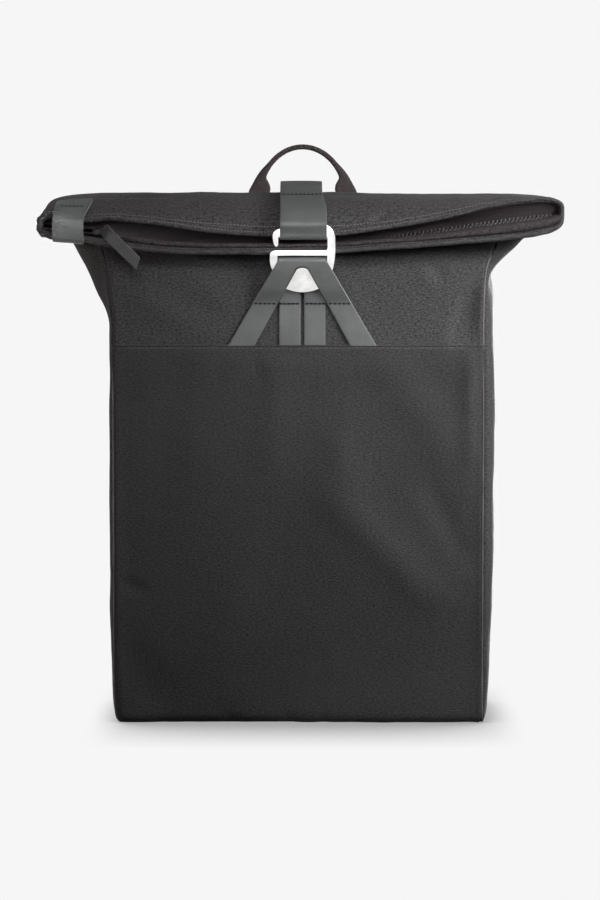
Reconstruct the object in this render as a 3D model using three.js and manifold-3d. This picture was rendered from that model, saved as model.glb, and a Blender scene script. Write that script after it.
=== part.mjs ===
// Roll-top laptop backpack, standing on its base with the top folded forward and hooked shut.
// Millimetres, +Z up. The front faces -Y, and +X is to the right of someone looking at the front.
// The origin is the middle of the base, on the surface that the bag stands on.
import * as THREE from "three";
import { mergeVertices } from "three/addons/utils/BufferGeometryUtils.js";
import Module from "manifold-3d";

const wasm = await Module();
wasm.setup();

// Driving dimensions
const CLOTH = 2; // coated canvas with its lining
const HEM = 4; // folded edge of the mouth
const STRAP_LEATHER = 1.8;
const TAB_LEATHER = 1.6;
const WEBBING = 1.6;
const GAP = 0.3; // clearance between neighbouring pieces
const BASE_THICK = 3;

const SEAM_Z = 299.2; // top edge of the lower front panel
const LAP = 10; // the upper front panel runs this far down behind the lower one
const LAP_FADE = 30; // the lower panel comes back to the plain front over this height
const STITCH_Z = 333; // seam across the hook tab

const HOOK = { x: 0.6, y: -67, z: 342, tilt: THREE.MathUtils.degToRad(16), thick: 2.4 };
const STRAP = { left: -16.8, right: 18 };

// The cloth tube from the base to the mouth, one row for each section. A section is a loop between a
// front point and a back point. It is flat out to flatL and flatR, and its sides reach out to ridgeL and
// ridgeR: power 4.5 gives them square corners, and 2 a round or ridged side. The front swells by bulge.
// Near the mouth, up and down say how far the upper and lower layers have moved to the lips.
const COLUMNS = ["frontY", "frontZ", "backY", "backZ", "flatL", "flatR", "ridgeL", "ridgeR",
  "powerL", "powerR", "bulge", "up", "down"];
const SECTIONS = {
  hem: [-57.5, 0.4, 57, 0.4, 137, 135, 148.2, 147.4, 4.5, 4.5, 0, 0, 0],
  foot: [-60.5, 7, 59.5, 7, 138, 136, 150.6, 149, 4.5, 4.5, 1, 0, 0],
  low: [-61, 45, 60.5, 45, 138.5, 136, 153.2, 152, 4.5, 4.5, 3, 0, 0],
  belly: [-62, 160, 61, 160, 138.5, 136, 155.3, 154.8, 4.5, 4.5, 6, 0, 0],
  waist: [-61.5, 260, 61, 262, 138.5, 136, 155, 154.2, 4.5, 4.5, 5, 0, 0],
  flare: [-60.5, 312, 60, 316, 138.5, 136, 155.2, 154, 4, 4.2, 4, 0, 0],
  shoulder: [-59.5, 340, 58.5, 348, 141, 136.5, 166.5, 154, 2.4, 3.8, 3, 0, 0],
  yoke: [-57.5, 358, 56, 371, 143, 138, 176, 158, 1.8, 2.6, 2, 0, 0],
  brow: [-51, 372.5, 53.5, 391, 146, 143, 185, 174.5, 1.8, 2.1, 1, 0, 0],
  tuck: [-32, 380.5, 50, 403.5, 148, 147, 192, 186.5, 1.9, 2, 0, 0, 0],
  under: [-8, 388.2, 45, 411, 150, 150, 196, 195, 1.9, 2, 0, 0, 0],
  crease: [12, 397.8, 38, 416, 150, 150, 198.5, 200, 2, 2.3, 0, 0, 0],
  turn: [17, 402, 30, 418, 150, 150, 200, 202, 2.2, 2.8, 0, 0, 0],
  root: [12, 405.2, 20, 418.6, 150, 150, 200.8, 203.5, 2.2, 3.2, 0, 0, 0],
  crest: [-15, 404, -6, 418.5, 150, 150, 202.5, 204.5, 2.2, 3.4, 0, 0, 0.1],
  slope: [-45, 397, -42, 417, 150, 150, 205.5, 205, 2.4, 3.6, 0, 0.15, 0.45],
  nose: [-64, 391, -64, 413, 150, 150, 207.5, 205, 2.6, 3.6, 0, 0.5, 0.85],
  lip: [-74, 388, -74, 412, 150, 150, 208, 205, 2.7, 3.6, 0, 1, 1],
};

// Heights of the mouth's two lips along X: the strap pulls both down in the middle.
const LIPS = [
  { x: -205, top: 400, bottom: 384 },
  { x: -176, top: 399.5, bottom: 380.5 },
  { x: -162, top: 398.5, bottom: 379 },
  { x: -150, top: 400.5, bottom: 378 },
  { x: -131, top: 399, bottom: 375.8 },
  { x: -101, top: 395.2, bottom: 373.2 },
  { x: -71, top: 390.6, bottom: 372.2 },
  { x: -25, top: 387.8, bottom: 372.4 },
  { x: 28, top: 388.4, bottom: 373.2 },
  { x: 58, top: 392.2, bottom: 375.4 },
  { x: 88, top: 396.8, bottom: 377.3 },
  { x: 118, top: 403, bottom: 379.9 },
  { x: 148, top: 410.6, bottom: 382.2 },
  { x: 172, top: 414.6, bottom: 384.5 },
  { x: 194, top: 416.4, bottom: 388.2 },
  { x: 205, top: 416.4, bottom: 391 },
];

// Dents pressed into the cloth: at a place on the skin, this wide and this deep.
const DENTS = [
  { name: "right shoulder pinch", x: 148, y: -50, z: 346, radius: 22, depth: 4 },
  { name: "right front hollow", x: 118, y: -62, z: 322, radius: 34, depth: 3 },
  { name: "left shoulder fold", x: -158, y: -40, z: 335, radius: 26, depth: 3 },
  { name: "right crest fold", x: 152, y: -30, z: 418, radius: 24, depth: 3 },
];

// The seams between the panels lie this far out from the flat of the front and back.
const SEAM_OUT = 9.2;

const MATERIALS = {
  canvas: new THREE.MeshStandardMaterial({ color: 0x343334, roughness: 0.85, metalness: 0 }),
  leather: new THREE.MeshStandardMaterial({ color: 0x5a5d5c, roughness: 0.55, metalness: 0 }),
  metal: new THREE.MeshStandardMaterial({ color: 0xe4e4e2, roughness: 0.25, metalness: 1 }),
  zip: new THREE.MeshStandardMaterial({ color: 0x2a2829, roughness: 0.6, metalness: 0 }),
  webbing: new THREE.MeshStandardMaterial({ color: 0x3a3637, roughness: 0.8, metalness: 0 }),
  plastic: new THREE.MeshStandardMaterial({ color: 0x262626, roughness: 0.5, metalness: 0 }),
};

// Curves and tables

const lerp = THREE.MathUtils.lerp;
const clamp = THREE.MathUtils.clamp;
const smooth = (x, from, to) => THREE.MathUtils.smoothstep(x, from, to);
const steps = (from, to, count) => Array.from({ length: count + 1 }, (_, i) => lerp(from, to, i / count));

// A smooth curve through values at keys that never overshoots them.
function through(keys, values) {
  const rises = keys.slice(1).map((key, i) => (values[i + 1] - values[i]) / (key - keys[i]));
  const slopes = keys.map((_, i) => {
    const before = rises[Math.max(i - 1, 0)];
    const after = rises[Math.min(i, rises.length - 1)];
    return before * after > 0 ? (2 * before * after) / (before + after) : 0;
  });
  return (key) => {
    const last = keys.length - 2;
    const i = clamp(keys.findIndex((k) => k > key) - 1, 0, last) || (key >= keys[last] ? last : 0);
    const span = keys[i + 1] - keys[i];
    const t = clamp((key - keys[i]) / span, 0, 1);
    return (
      values[i] * (1 + 2 * t) * (1 - t) ** 2 +
      slopes[i] * span * t * (1 - t) ** 2 +
      values[i + 1] * t * t * (3 - 2 * t) +
      slopes[i + 1] * span * t * t * (t - 1)
    );
  };
}

const ROWS = Object.keys(SECTIONS);
const ROW = Object.fromEntries(ROWS.map((name, i) => [name, i]));
const section = Object.fromEntries(
  COLUMNS.map((column, c) => [
    column,
    through(ROWS.map((_, i) => i), ROWS.map((name) => SECTIONS[name][c])),
  ]),
);
const lipX = LIPS.map((lip) => lip.x);
const lipTop = through(lipX, LIPS.map((lip) => lip.top));
const lipBottom = through(lipX, LIPS.map((lip) => lip.bottom));

// The row, as a number between rows, at which a column reaches a value on its way up from the base.
function rowAt(column, value) {
  let low = 0;
  let high = ROW.turn;
  for (let i = 0; i < 40; i++) {
    const middle = (low + high) / 2;
    if (section[column](middle) < value) low = middle;
    else high = middle;
  }
  return low;
}

// The skin: the outside of the cloth tube

// A point of the skin without dents. The turn runs round a section: 0 to 1 is the front from left to
// right, 1 to 2 the right side, 2 to 3 the back from right to left and 3 to 4 the left side.
function plainSkin(turn, row) {
  const at = (column) => section[column](row);
  const part = Math.floor(turn);
  const share = turn - part;
  let x;
  let across; // -1 on the front, 1 on the back
  let swell = 0;
  if (part % 2 === 0) {
    const left = part === 0 ? share : 1 - share;
    x = lerp(-at("flatL"), at("flatR"), left);
    across = part === 0 ? -1 : 1;
    if (part === 0) swell = at("bulge") * (1 - (2 * share - 1) ** 2);
  } else {
    const right = part === 1;
    const angle = Math.PI * (right ? share - 0.5 : 0.5 - share);
    const power = 2 / at(right ? "powerR" : "powerL");
    const flat = at(right ? "flatR" : "flatL");
    const reach = at(right ? "ridgeR" : "ridgeL") - flat;
    x = (right ? 1 : -1) * (flat + reach * Math.max(Math.cos(angle), 0) ** power);
    across = Math.sign(angle) * Math.abs(Math.sin(angle)) ** power;
  }
  const frontZ = lerp(at("frontZ"), lipBottom(x), at("down"));
  const backZ = lerp(at("backZ"), lipTop(x), at("up"));
  const toBack = (across + 1) / 2;
  return new THREE.Vector3(x, lerp(at("frontY"), at("backY"), toBack) - swell, lerp(frontZ, backZ, toBack));
}

// The direction out of the cloth at a point of the skin, from the slopes along and across it.
function outward(turn, row) {
  const step = 0.004;
  const wrap = (t) => ((t % 4) + 4) % 4;
  const before = plainSkin(wrap(turn - step), row);
  const after = plainSkin(wrap(turn + step), row);
  const below = plainSkin(wrap(turn), Math.max(row - step, 0));
  const above = plainSkin(wrap(turn), Math.min(row + step, ROW.lip));
  return after.sub(before).cross(above.sub(below)).normalize();
}

// A point of the skin, moved out by lift, with the dents pressed in.
function skin(turn, row, lift = 0) {
  const wrapped = ((turn % 4) + 4) % 4;
  const point = plainSkin(wrapped, row);
  let move = lift;
  for (const dent of DENTS) {
    const away = Math.hypot(point.x - dent.x, point.y - dent.y, point.z - dent.z) / dent.radius;
    move -= dent.depth * Math.exp(-2 * away * away);
  }
  return point.addScaledVector(outward(wrapped, row), move);
}

// The turn that lies a small distance along the skin from a given turn.
function alongSkin(turn, row, distance) {
  const step = 0.01;
  const wrap = (t) => ((t % 4) + 4) % 4;
  const speed = plainSkin(wrap(turn + step), row).distanceTo(plainSkin(wrap(turn - step), row)) / (2 * step);
  return turn + distance / speed;
}

// The share of a side's half turn that belongs to the front or back panel, up to its seam.
function seamShare(row, right) {
  const reach = section[right ? "ridgeR" : "ridgeL"](row) - section[right ? "flatR" : "flatL"](row);
  const out = Math.min(SEAM_OUT / reach, 0.8);
  return 0.5 - Math.acos(out ** (section[right ? "powerR" : "powerL"](row) / 2)) / Math.PI;
}

// The front's or back's Y at a height, in the middle of the bag.
const frontAt = (z) => skin(0.5, rowAt("frontZ", z)).y;
const backAt = (z) => section.backY(rowAt("backZ", z));

// Solids

// A solid through rings of points, each ring the outline of one cut across it. Closed joins the last ring
// to the first; otherwise both ends are capped, with strips across the ring.
function loft(rings, closed = false) {
  const count = rings[0].length;
  const index = [];
  const pairs = closed ? rings.length : rings.length - 1;
  for (let r = 0; r < pairs; r++) {
    const next = (r + 1) % rings.length;
    for (let i = 0; i < count; i++) {
      const j = (i + 1) % count;
      const [a, b, c, d] = [r * count + i, r * count + j, next * count + j, next * count + i];
      index.push(a, b, c, a, c, d);
    }
  }
  const cap = (r, flip) => {
    for (let i = 0; i < count / 2 - 1; i++) {
      const [a, b, c, d] = [i, i + 1, count - 2 - i, count - 1 - i].map((k) => r * count + k);
      if (flip) index.push(a, b, c, a, c, d);
      else index.push(a, c, b, a, d, c);
    }
  };
  if (!closed) {
    cap(0, false);
    cap(rings.length - 1, true);
  }
  const geometry = new THREE.BufferGeometry().setFromPoints(rings.flat());
  geometry.setIndex(index);
  return outsideOut(geometry);
}

// Turns a closed mesh's faces round if they point inwards.
function outsideOut(geometry) {
  const p = geometry.getAttribute("position");
  const index = geometry.index.array;
  const corner = (k) => new THREE.Vector3().fromBufferAttribute(p, index[k]);
  let volume = 0;
  for (let i = 0; i < index.length; i += 3) volume += corner(i).dot(corner(i + 1).cross(corner(i + 2)));
  if (volume < 0) {
    for (let i = 0; i < index.length; i += 3) [index[i + 1], index[i + 2]] = [index[i + 2], index[i + 1]];
  }
  return geometry;
}

function toSolid(geometry) {
  const bare = geometry.clone();
  bare.deleteAttribute("normal");
  bare.deleteAttribute("uv");
  const merged = mergeVertices(bare, 1e-4);
  return new wasm.Manifold(
    new wasm.Mesh({
      numProp: 3,
      vertProperties: new Float32Array(merged.getAttribute("position").array),
      triVerts: new Uint32Array(merged.index.array),
    }),
  );
}

function toGeometry(solid) {
  const mesh = solid.getMesh();
  const geometry = new THREE.BufferGeometry();
  geometry.setAttribute("position", new THREE.BufferAttribute(new Float32Array(mesh.vertProperties), 3));
  geometry.setIndex(new THREE.BufferAttribute(new Uint32Array(mesh.triVerts), 1));
  return geometry;
}

// A wall of cloth over a patch of the skin, between two turns and over a list of rows.
function clothWall(turnsAt, rows, lift = () => 0) {
  return loft(
    rows.map((row) => {
      const turns = turnsAt(row);
      const outer = turns.map((turn) => skin(turn, row, lift(row)));
      const inner = turns.map((turn) => skin(turn, row, lift(row) - CLOTH));
      return [...outer, ...inner.reverse()];
    }),
  );
}

// A band of leather or webbing: a path in the YZ plane with its left and right edges, and a thickness.
function band(path, thick) {
  return loft(
    path.map((at, i) => {
      const before = path[Math.max(i - 1, 0)];
      const after = path[Math.min(i + 1, path.length - 1)];
      const along = new THREE.Vector2(after.y - before.y, after.z - before.z).normalize();
      const [ny, nz] = [(-along.y * thick) / 2, (along.x * thick) / 2];
      return [
        new THREE.Vector3(at.left, at.y + ny, at.z + nz),
        new THREE.Vector3(at.right, at.y + ny, at.z + nz),
        new THREE.Vector3(at.right, at.y - ny, at.z - nz),
        new THREE.Vector3(at.left, at.y - ny, at.z - nz),
      ];
    }),
  );
}

// A soft bar: a rounded outline of half-sizes wide and deep, carried along points with two side directions.
function softBar(stations, sides, power = 2.6) {
  return loft(
    stations.map(({ centre, across, out, wide, deep }) =>
      steps(0, 2 * Math.PI, sides)
        .slice(0, sides)
        .map((angle) => {
          const round = (value) => Math.sign(value) * Math.abs(value) ** (2 / power);
          return centre
            .clone()
            .addScaledVector(across, wide * round(Math.cos(angle)))
            .addScaledVector(out, deep * round(Math.sin(angle)));
        }),
    ),
  );
}

// A flat plate from an outline in X and height, with its middle on the XZ plane.
function plate(shape, thick, curveSegments = 6) {
  const geometry = new THREE.ExtrudeGeometry(shape, { depth: thick, bevelEnabled: false, curveSegments });
  return geometry.translate(0, 0, -thick / 2).rotateX(Math.PI / 2);
}

const bag = new THREE.Group();
bag.name = "backpack";

function add(name, geometry, material, parent = bag) {
  const mesh = new THREE.Mesh(geometry, material);
  mesh.name = name;
  parent.add(mesh);
  return mesh;
}

// Body panels

const SEAM_ROW = rowAt("frontZ", SEAM_Z);
const BODY_TOP = ROW.turn - 0.16; // the body ends here, just short of the roll top
const HALF_GAP = 0.35; // from a panel's edge to the seam line

// The rows at which every panel of the body has points, so that neighbours follow the same seam line.
const BODY_ROWS = [...steps(0, ROW.waist, 2 * ROW.waist), ...steps(ROW.waist, ROW.turn, 20).slice(1)];

function rowsBetween(from, to) {
  return [from, ...BODY_ROWS.filter((row) => row > from + 0.1 && row < to - 0.1), to];
}

// The turns across a panel, from seam to seam, with more points at its corners than on its flat.
function panelTurns(first, last, flatSteps, cornerSteps) {
  const startsRight = first === 2;
  return (row) => {
    const start = alongSkin(first - seamShare(row, startsRight), row, HALF_GAP);
    const end = alongSkin(last + seamShare(row, !startsRight), row, -HALF_GAP);
    return [
      ...steps(start, first, cornerSteps).slice(0, -1),
      ...steps(first, last, flatSteps),
      ...steps(last, end, cornerSteps).slice(1),
    ];
  };
}

function sideTurns(first, last, count) {
  return (row) => {
    const share = seamShare(row, first === 1);
    return steps(alongSkin(first + share, row, HALF_GAP), alongSkin(last - share, row, -HALF_GAP), count);
  };
}

function bodyPanels() {
  const lapLift = (row) => {
    const below = SEAM_Z - LAP - section.frontZ(row);
    return (CLOTH + GAP) * (1 - smooth(below, 0, LAP_FADE));
  };
  const front = panelTurns(0, 1, 8, 2);
  const lapFoot = rowAt("frontZ", SEAM_Z - LAP);
  const lowerRows = [...rowsBetween(0, lapFoot - 0.15), lapFoot, SEAM_ROW];
  add("front_panel_lower", clothWall(front, lowerRows, lapLift), MATERIALS.canvas);
  add("front_panel_upper", clothWall(front, rowsBetween(lapFoot, BODY_TOP)), MATERIALS.canvas);
  add("back_panel", clothWall(panelTurns(2, 3, 6, 2), rowsBetween(0, BODY_TOP)), MATERIALS.canvas);
  add("side_panel_right", clothWall(sideTurns(1, 2, 9), rowsBetween(0, BODY_TOP)), MATERIALS.canvas);
  add("side_panel_left", clothWall(sideTurns(3, 4, 9), rowsBetween(0, BODY_TOP)), MATERIALS.canvas);
}

function basePanel() {
  const lean = 1.4; // the walls lean in by this much at their foot
  const inset = CLOTH + GAP + lean;
  const [left, right] = [section.ridgeL(0) - inset, section.ridgeR(0) - inset];
  const deep = section.backY(0) - inset;
  const corner = 7;
  const outline = new THREE.Shape();
  outline.moveTo(-left + corner, -deep);
  outline.lineTo(right - corner, -deep);
  outline.quadraticCurveTo(right, -deep, right, -deep + corner);
  outline.lineTo(right, deep - corner);
  outline.quadraticCurveTo(right, deep, right - corner, deep);
  outline.lineTo(-left + corner, deep);
  outline.quadraticCurveTo(-left, deep, -left, deep - corner);
  outline.lineTo(-left, -deep + corner);
  outline.quadraticCurveTo(-left, -deep, -left + corner, -deep);
  const geometry = new THREE.ExtrudeGeometry(outline, {
    depth: BASE_THICK,
    bevelEnabled: false,
    curveSegments: 4,
  });
  add("base_panel", geometry, MATERIALS.canvas);
}

// Roll top: the flattened collar from the crease to the lips, a tube open at both ends.
function rollTop() {
  const [hemStart, hemFull] = [ROW.nose + 0.2, ROW.nose + 0.7];
  const rows = [...steps(ROW.turn, ROW.nose, 8), ROW.nose + 0.4, hemFull, ROW.lip];
  const thick = (row) => lerp(CLOTH, HEM, smooth(row, hemStart, hemFull));
  const turns = [
    ...steps(0, 1, 14).slice(0, -1),
    ...steps(1, 2, 10).slice(0, -1),
    ...steps(2, 3, 14).slice(0, -1),
    ...steps(3, 4, 10).slice(0, -1),
  ];
  const rings = turns.map((turn) => [
    ...rows.map((row) => skin(turn, row)),
    ...rows.map((row) => skin(turn, row, -thick(row))).reverse(),
  ]);
  add("roll_top", loft(rings, true), MATERIALS.canvas);
}

// Zip: two tapes and the teeth, set back inside the mouth

const ZIP = { left: -150, right: 196, teethHalf: 2.6, teethDeep: 2.4, tape: 1.4, sliderLeft: -163 };
// How far the zip lies behind the lips, along X: deepest in the middle, where the lips are pinched.
const zipY = through([-190, -120, 0, 90, 150, 200], [-61, -57, -50, -56, -62, -64]);

// The inside faces of the roll top at a place in plan, as heights.
function insideMouth(x, y) {
  const reach = (side) => {
    const column = side === "top" ? "backY" : "frontY";
    let low = ROW.crest;
    let high = ROW.lip;
    for (let i = 0; i < 30; i++) {
      const middle = (low + high) / 2;
      if (section[column](middle) > y) low = middle;
      else high = middle;
    }
    const right = x > 0;
    const flat = section[right ? "flatR" : "flatL"](low);
    const over = clamp((Math.abs(x) - flat) / (section[right ? "ridgeR" : "ridgeL"](low) - flat), 0, 1);
    const power = section[right ? "powerR" : "powerL"](low);
    const height = (1 - over ** power) ** (1 / power);
    const frontZ = lerp(section.frontZ(low), lipBottom(x), section.down(low));
    const backZ = lerp(section.backZ(low), lipTop(x), section.up(low));
    const middle = (frontZ + backZ) / 2;
    const half = ((backZ - frontZ) / 2) * height;
    return side === "top" ? middle + half : middle - half;
  };
  return { top: reach("top") - CLOTH - 1.6, bottom: reach("bottom") + CLOTH + 1.6 };
}

// The middle of the zip at a place along X.
function zipLine(x) {
  const inside = insideMouth(x, zipY(x));
  return { x, y: zipY(x), z: (inside.top + inside.bottom) / 2, ...inside };
}

// A strip along the zip between two heights, given as functions of the zip line there.
function zipStrip(from, to, deep, low, high, count) {
  return loft(
    steps(from, to, count).map((x) => {
      const line = zipLine(x);
      const [front, back] = [line.y - deep / 2, line.y + deep / 2];
      return [
        new THREE.Vector3(x, front, low(line)),
        new THREE.Vector3(x, front, high(line)),
        new THREE.Vector3(x, back, high(line)),
        new THREE.Vector3(x, back, low(line)),
      ];
    }),
  );
}

function zip() {
  const { left, right, teethHalf, teethDeep, tape, sliderLeft } = ZIP;
  const tapeEdge = teethHalf + GAP;
  const seat = 0.5; // the tapes start this far off the cloth's inside face
  add(
    "zip_tape_lower",
    zipStrip(sliderLeft, right, tape, (l) => l.bottom - seat, (l) => l.z - tapeEdge, 30),
    MATERIALS.zip,
  );
  add(
    "zip_tape_upper",
    zipStrip(sliderLeft, right, tape, (l) => l.z + tapeEdge, (l) => l.top + seat, 30),
    MATERIALS.zip,
  );
  add(
    "zip_teeth",
    zipStrip(left, right, teethDeep, (l) => l.z - teethHalf, (l) => l.z + teethHalf, 30),
    MATERIALS.zip,
  );
}

// The slider stands at the closed end, and its leather pull hangs out over the lower lip.
const PULL = { wide: 8.3, tipX: -129, tipZ: 361.5, lipY: -78, tipY: -77 };

function zipSliderAndPull() {
  const long = ZIP.left - ZIP.sliderLeft - 2 * GAP;
  const middle = (ZIP.left + ZIP.sliderLeft) / 2;
  const line = zipLine(middle);
  const tall = 2 * ZIP.teethHalf - 0.2;
  const deep = 5;
  const slider = new THREE.BoxGeometry(long, deep, tall);
  add("zip_slider", slider, MATERIALS.plastic).position.set(middle, line.y - deep / 4, line.z);

  const start = new THREE.Vector3(middle + 1, line.y - (3 * deep) / 4 - GAP - 1, line.z + 1);
  const tip = new THREE.Vector3(PULL.tipX, PULL.tipY, PULL.tipZ);
  const slant = new THREE.Vector3(tip.x - start.x, 0, tip.z - start.z).normalize();
  const across = new THREE.Vector3(-slant.z, 0, slant.x);
  const rings = [0, 0.12, 0.24, 0.4, 0.7, 0.93, 1].map((share) => {
    const centre = start.clone().lerp(tip, share);
    centre.y = lerp(start.y, PULL.lipY, smooth(share, 0, 0.32));
    centre.y = lerp(centre.y, PULL.tipY, smooth(share, 0.4, 1));
    const half = (PULL.wide / 2) * (share === 1 ? 0.6 : 1);
    const deepHalf = STRAP_LEATHER / 2;
    return [
      [-half, -deepHalf],
      [half, -deepHalf],
      [half, deepHalf],
      [-half, deepHalf],
    ].map(([a, y]) => centre.clone().addScaledVector(across, a).add(new THREE.Vector3(0, y, 0)));
  });
  add("zip_pull", loft(rings), MATERIALS.leather);
}

// End tab: a leather band over the left end of the roll, from its top round the lips to its underside.
const END_TAB = { left: -196, right: -170, topY: -44, underY: -62, clear: 0.9 };

function endTab() {
  const turnAt = (x, top) => {
    const flat = section.flatL(ROW.lip);
    const over = clamp((-x - flat) / (section.ridgeL(ROW.lip) - flat), 0, 1);
    const angle = Math.acos(over ** (section.powerL(ROW.lip) / 2));
    if (over === 0) {
      const share = (x + flat) / (flat + section.flatR(ROW.lip));
      return top ? 3 - share : share;
    }
    return top ? 3 + (Math.PI / 2 - angle) / Math.PI : 4 - (Math.PI / 2 - angle) / Math.PI;
  };
  const rowAtY = (column, y) => {
    const rows = steps(ROW.crest, ROW.lip, 200);
    const off = (row) => Math.abs(section[column](row) - y);
    return rows.reduce((best, row) => (off(row) < off(best) ? row : best));
  };
  const topRows = steps(rowAtY("backY", END_TAB.topY), ROW.lip, 5);
  const underRows = steps(ROW.lip, rowAtY("frontY", END_TAB.underY), 3);
  const rings = steps(END_TAB.left, END_TAB.right, 6).map((x) => {
    const layer = (lift) => [
      ...topRows.map((row) => skin(turnAt(x, true), row, lift)),
      ...underRows.map((row) => skin(turnAt(x, false), row, lift)),
    ];
    const forward = (points, by) =>
      points.map((p, i) => {
        const nearLip = i >= topRows.length - 1 && i <= topRows.length;
        return nearLip ? p.setY(p.y - by) : p;
      });
    const inner = forward(layer(END_TAB.clear), END_TAB.clear);
    const outer = forward(layer(END_TAB.clear + STRAP_LEATHER), END_TAB.clear + STRAP_LEATHER);
    return [...outer, ...inner.reverse()];
  });
  add("end_tab", loft(rings), MATERIALS.leather);
}

// Hook: a flat metal plate. Heights run up the plate from its rounded foot.
const PLATE = {
  half: 25.3,
  footHalf: 15,
  footRise: 4,
  shoulder: 19,
  tabEdge: 26, // top edge of the part that the leather tab is folded over
  barLow: 30,
  barTop: 34.4,
  throatLeft: -18.6,
  throatRight: 19.6,
  bowLow: 45,
  bowTopLeft: 51.6,
  bowTopRight: 55.6,
  clawTip: 37.4,
  slotHalf: 20.2,
};

function hookOutline() {
  const p = PLATE;
  const outline = new THREE.Shape();
  outline.moveTo(-p.footHalf, p.footRise);
  outline.quadraticCurveTo(0, -p.footRise, p.footHalf, p.footRise);
  outline.lineTo(p.half - 1.5, p.shoulder);
  outline.quadraticCurveTo(p.half, p.shoulder + 4, p.half + 0.6, p.barTop);
  outline.lineTo(p.half + 0.4, p.bowLow);
  outline.quadraticCurveTo(p.half - 1, p.bowTopRight - 2, p.throatRight - 2, p.bowTopRight);
  outline.lineTo(p.throatLeft, p.bowTopLeft);
  outline.quadraticCurveTo(p.throatLeft - 5, p.bowTopLeft - 1, p.throatLeft - 4.6, p.bowLow - 1);
  outline.quadraticCurveTo(p.throatLeft - 3.6, p.clawTip, p.throatLeft - 1.8, p.clawTip);
  outline.quadraticCurveTo(p.throatLeft, p.clawTip, p.throatLeft, p.clawTip + 3);
  outline.lineTo(p.throatLeft, p.bowLow);
  outline.lineTo(p.throatRight - 1.5, p.bowLow);
  outline.quadraticCurveTo(p.throatRight, p.bowLow, p.throatRight, p.bowLow - 1.5);
  outline.lineTo(p.throatRight, p.barTop + 2);
  outline.quadraticCurveTo(p.throatRight, p.barTop, p.throatRight - 2, p.barTop);
  outline.lineTo(-p.half + 5, p.barTop);
  outline.quadraticCurveTo(-p.half, p.barTop, -p.half, p.barLow);
  outline.quadraticCurveTo(-p.half - 0.6, p.shoulder + 4, -p.half + 1.5, p.shoulder);
  outline.closePath();
  const slot = new THREE.Path();
  slot.moveTo(-p.slotHalf, p.tabEdge);
  slot.lineTo(-p.slotHalf, p.barLow);
  slot.lineTo(p.slotHalf, p.barLow);
  slot.lineTo(p.slotHalf, p.tabEdge);
  slot.closePath();
  outline.holes.push(slot);
  return outline;
}

const onHook = (height, out = 0) => ({
  y: HOOK.y - height * Math.sin(HOOK.tilt) - out * Math.cos(HOOK.tilt),
  z: HOOK.z + height * Math.cos(HOOK.tilt) - out * Math.sin(HOOK.tilt),
});

function hook() {
  const frame = new THREE.Group();
  frame.position.set(HOOK.x, HOOK.y, HOOK.z);
  frame.rotation.x = HOOK.tilt;
  bag.add(frame);
  add("hook", plate(hookOutline(), HOOK.thick), MATERIALS.metal, frame);
}

// Hook tab: one leather piece folded over the hook's plate. In front it spreads into two slanting legs,
// and behind it goes down as two straight ones. All four feet end at the lower panel's edge.
const TAB = {
  footZ: SEAM_Z + 0.5,
  footHalf: 58.3,
  topHalf: 19.2,
  notchFootHalf: 37.7,
  notchTopHalf: 4,
  notchTopZ: 359.5,
  rearHalf: 18,
  slitLeft: -1.4,
  slitRight: 1.6,
};

// A piece of the tab's path that curves round the edge of the hook's plate, between two angles.
function foldOverPlate(radius, from, to, count) {
  const centre = PLATE.tabEdge - 0.4;
  return steps(from, to, count).map((angle) =>
    onHook(centre + radius * Math.sin(angle), radius * Math.cos(angle)),
  );
}

function hookTab() {
  const half = TAB_LEATHER / 2;
  const clear = GAP + half;
  const onPanel = (z) => ({ y: frontAt(z) - clear, z });
  const radius = HOOK.thick / 2 + clear;
  const [top, foldTop] = [PLATE.tabEdge - 0.4, Math.PI / 2];

  const frontPath = [
    ...[TAB.footZ, 309, 320].map(onPanel),
    { y: onPanel(STITCH_Z).y - 0.4, z: STITCH_Z },
    onHook(3, radius),
    onHook(10, radius),
    onHook(18, radius),
    ...foldOverPlate(radius, 0, foldTop + 0.15, 5),
  ].map((at) => {
    const rise = clamp((at.z - TAB.footZ) / (onHook(top).z - TAB.footZ), 0, 1);
    const reach = lerp(TAB.footHalf, TAB.topHalf, rise);
    return { ...at, left: HOOK.x - reach, right: HOOK.x + reach };
  });
  const notch = new THREE.Shape();
  const deeper = 3;
  notch.moveTo(-TAB.notchFootHalf - deeper / 2, TAB.footZ - deeper);
  notch.lineTo(TAB.notchFootHalf + deeper / 2, TAB.footZ - deeper);
  notch.lineTo(TAB.notchTopHalf + 2.5, TAB.notchTopZ - 5);
  notch.quadraticCurveTo(TAB.notchTopHalf, TAB.notchTopZ, 0, TAB.notchTopZ);
  notch.quadraticCurveTo(-TAB.notchTopHalf, TAB.notchTopZ, -TAB.notchTopHalf - 2.5, TAB.notchTopZ - 5);
  notch.closePath();
  const cutter = plate(notch, 60, 4).translate(HOOK.x, HOOK.y, 0);
  const front = toSolid(band(frontPath, TAB_LEATHER)).subtract(toSolid(cutter));

  const rearPath = [
    ...foldOverPlate(radius, foldTop - 0.15, Math.PI, 5),
    onHook(18, -radius),
    onHook(9, -radius),
    onHook(1, -radius),
    onPanel(STITCH_Z),
    ...[320, 309, TAB.footZ].map(onPanel),
  ].map((at) => ({ ...at, left: HOOK.x - TAB.rearHalf, right: HOOK.x + TAB.rearHalf }));
  const slit = new THREE.BoxGeometry(TAB.slitRight - TAB.slitLeft, 40, onHook(4).z - TAB.footZ + 8);
  slit.translate(HOOK.x + (TAB.slitLeft + TAB.slitRight) / 2, HOOK.y, (onHook(4).z + TAB.footZ - 8) / 2);
  const rear = toSolid(band(rearPath, TAB_LEATHER)).subtract(toSolid(slit));

  add("hook_tab", toGeometry(front.add(rear)), MATERIALS.leather);
}

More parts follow.
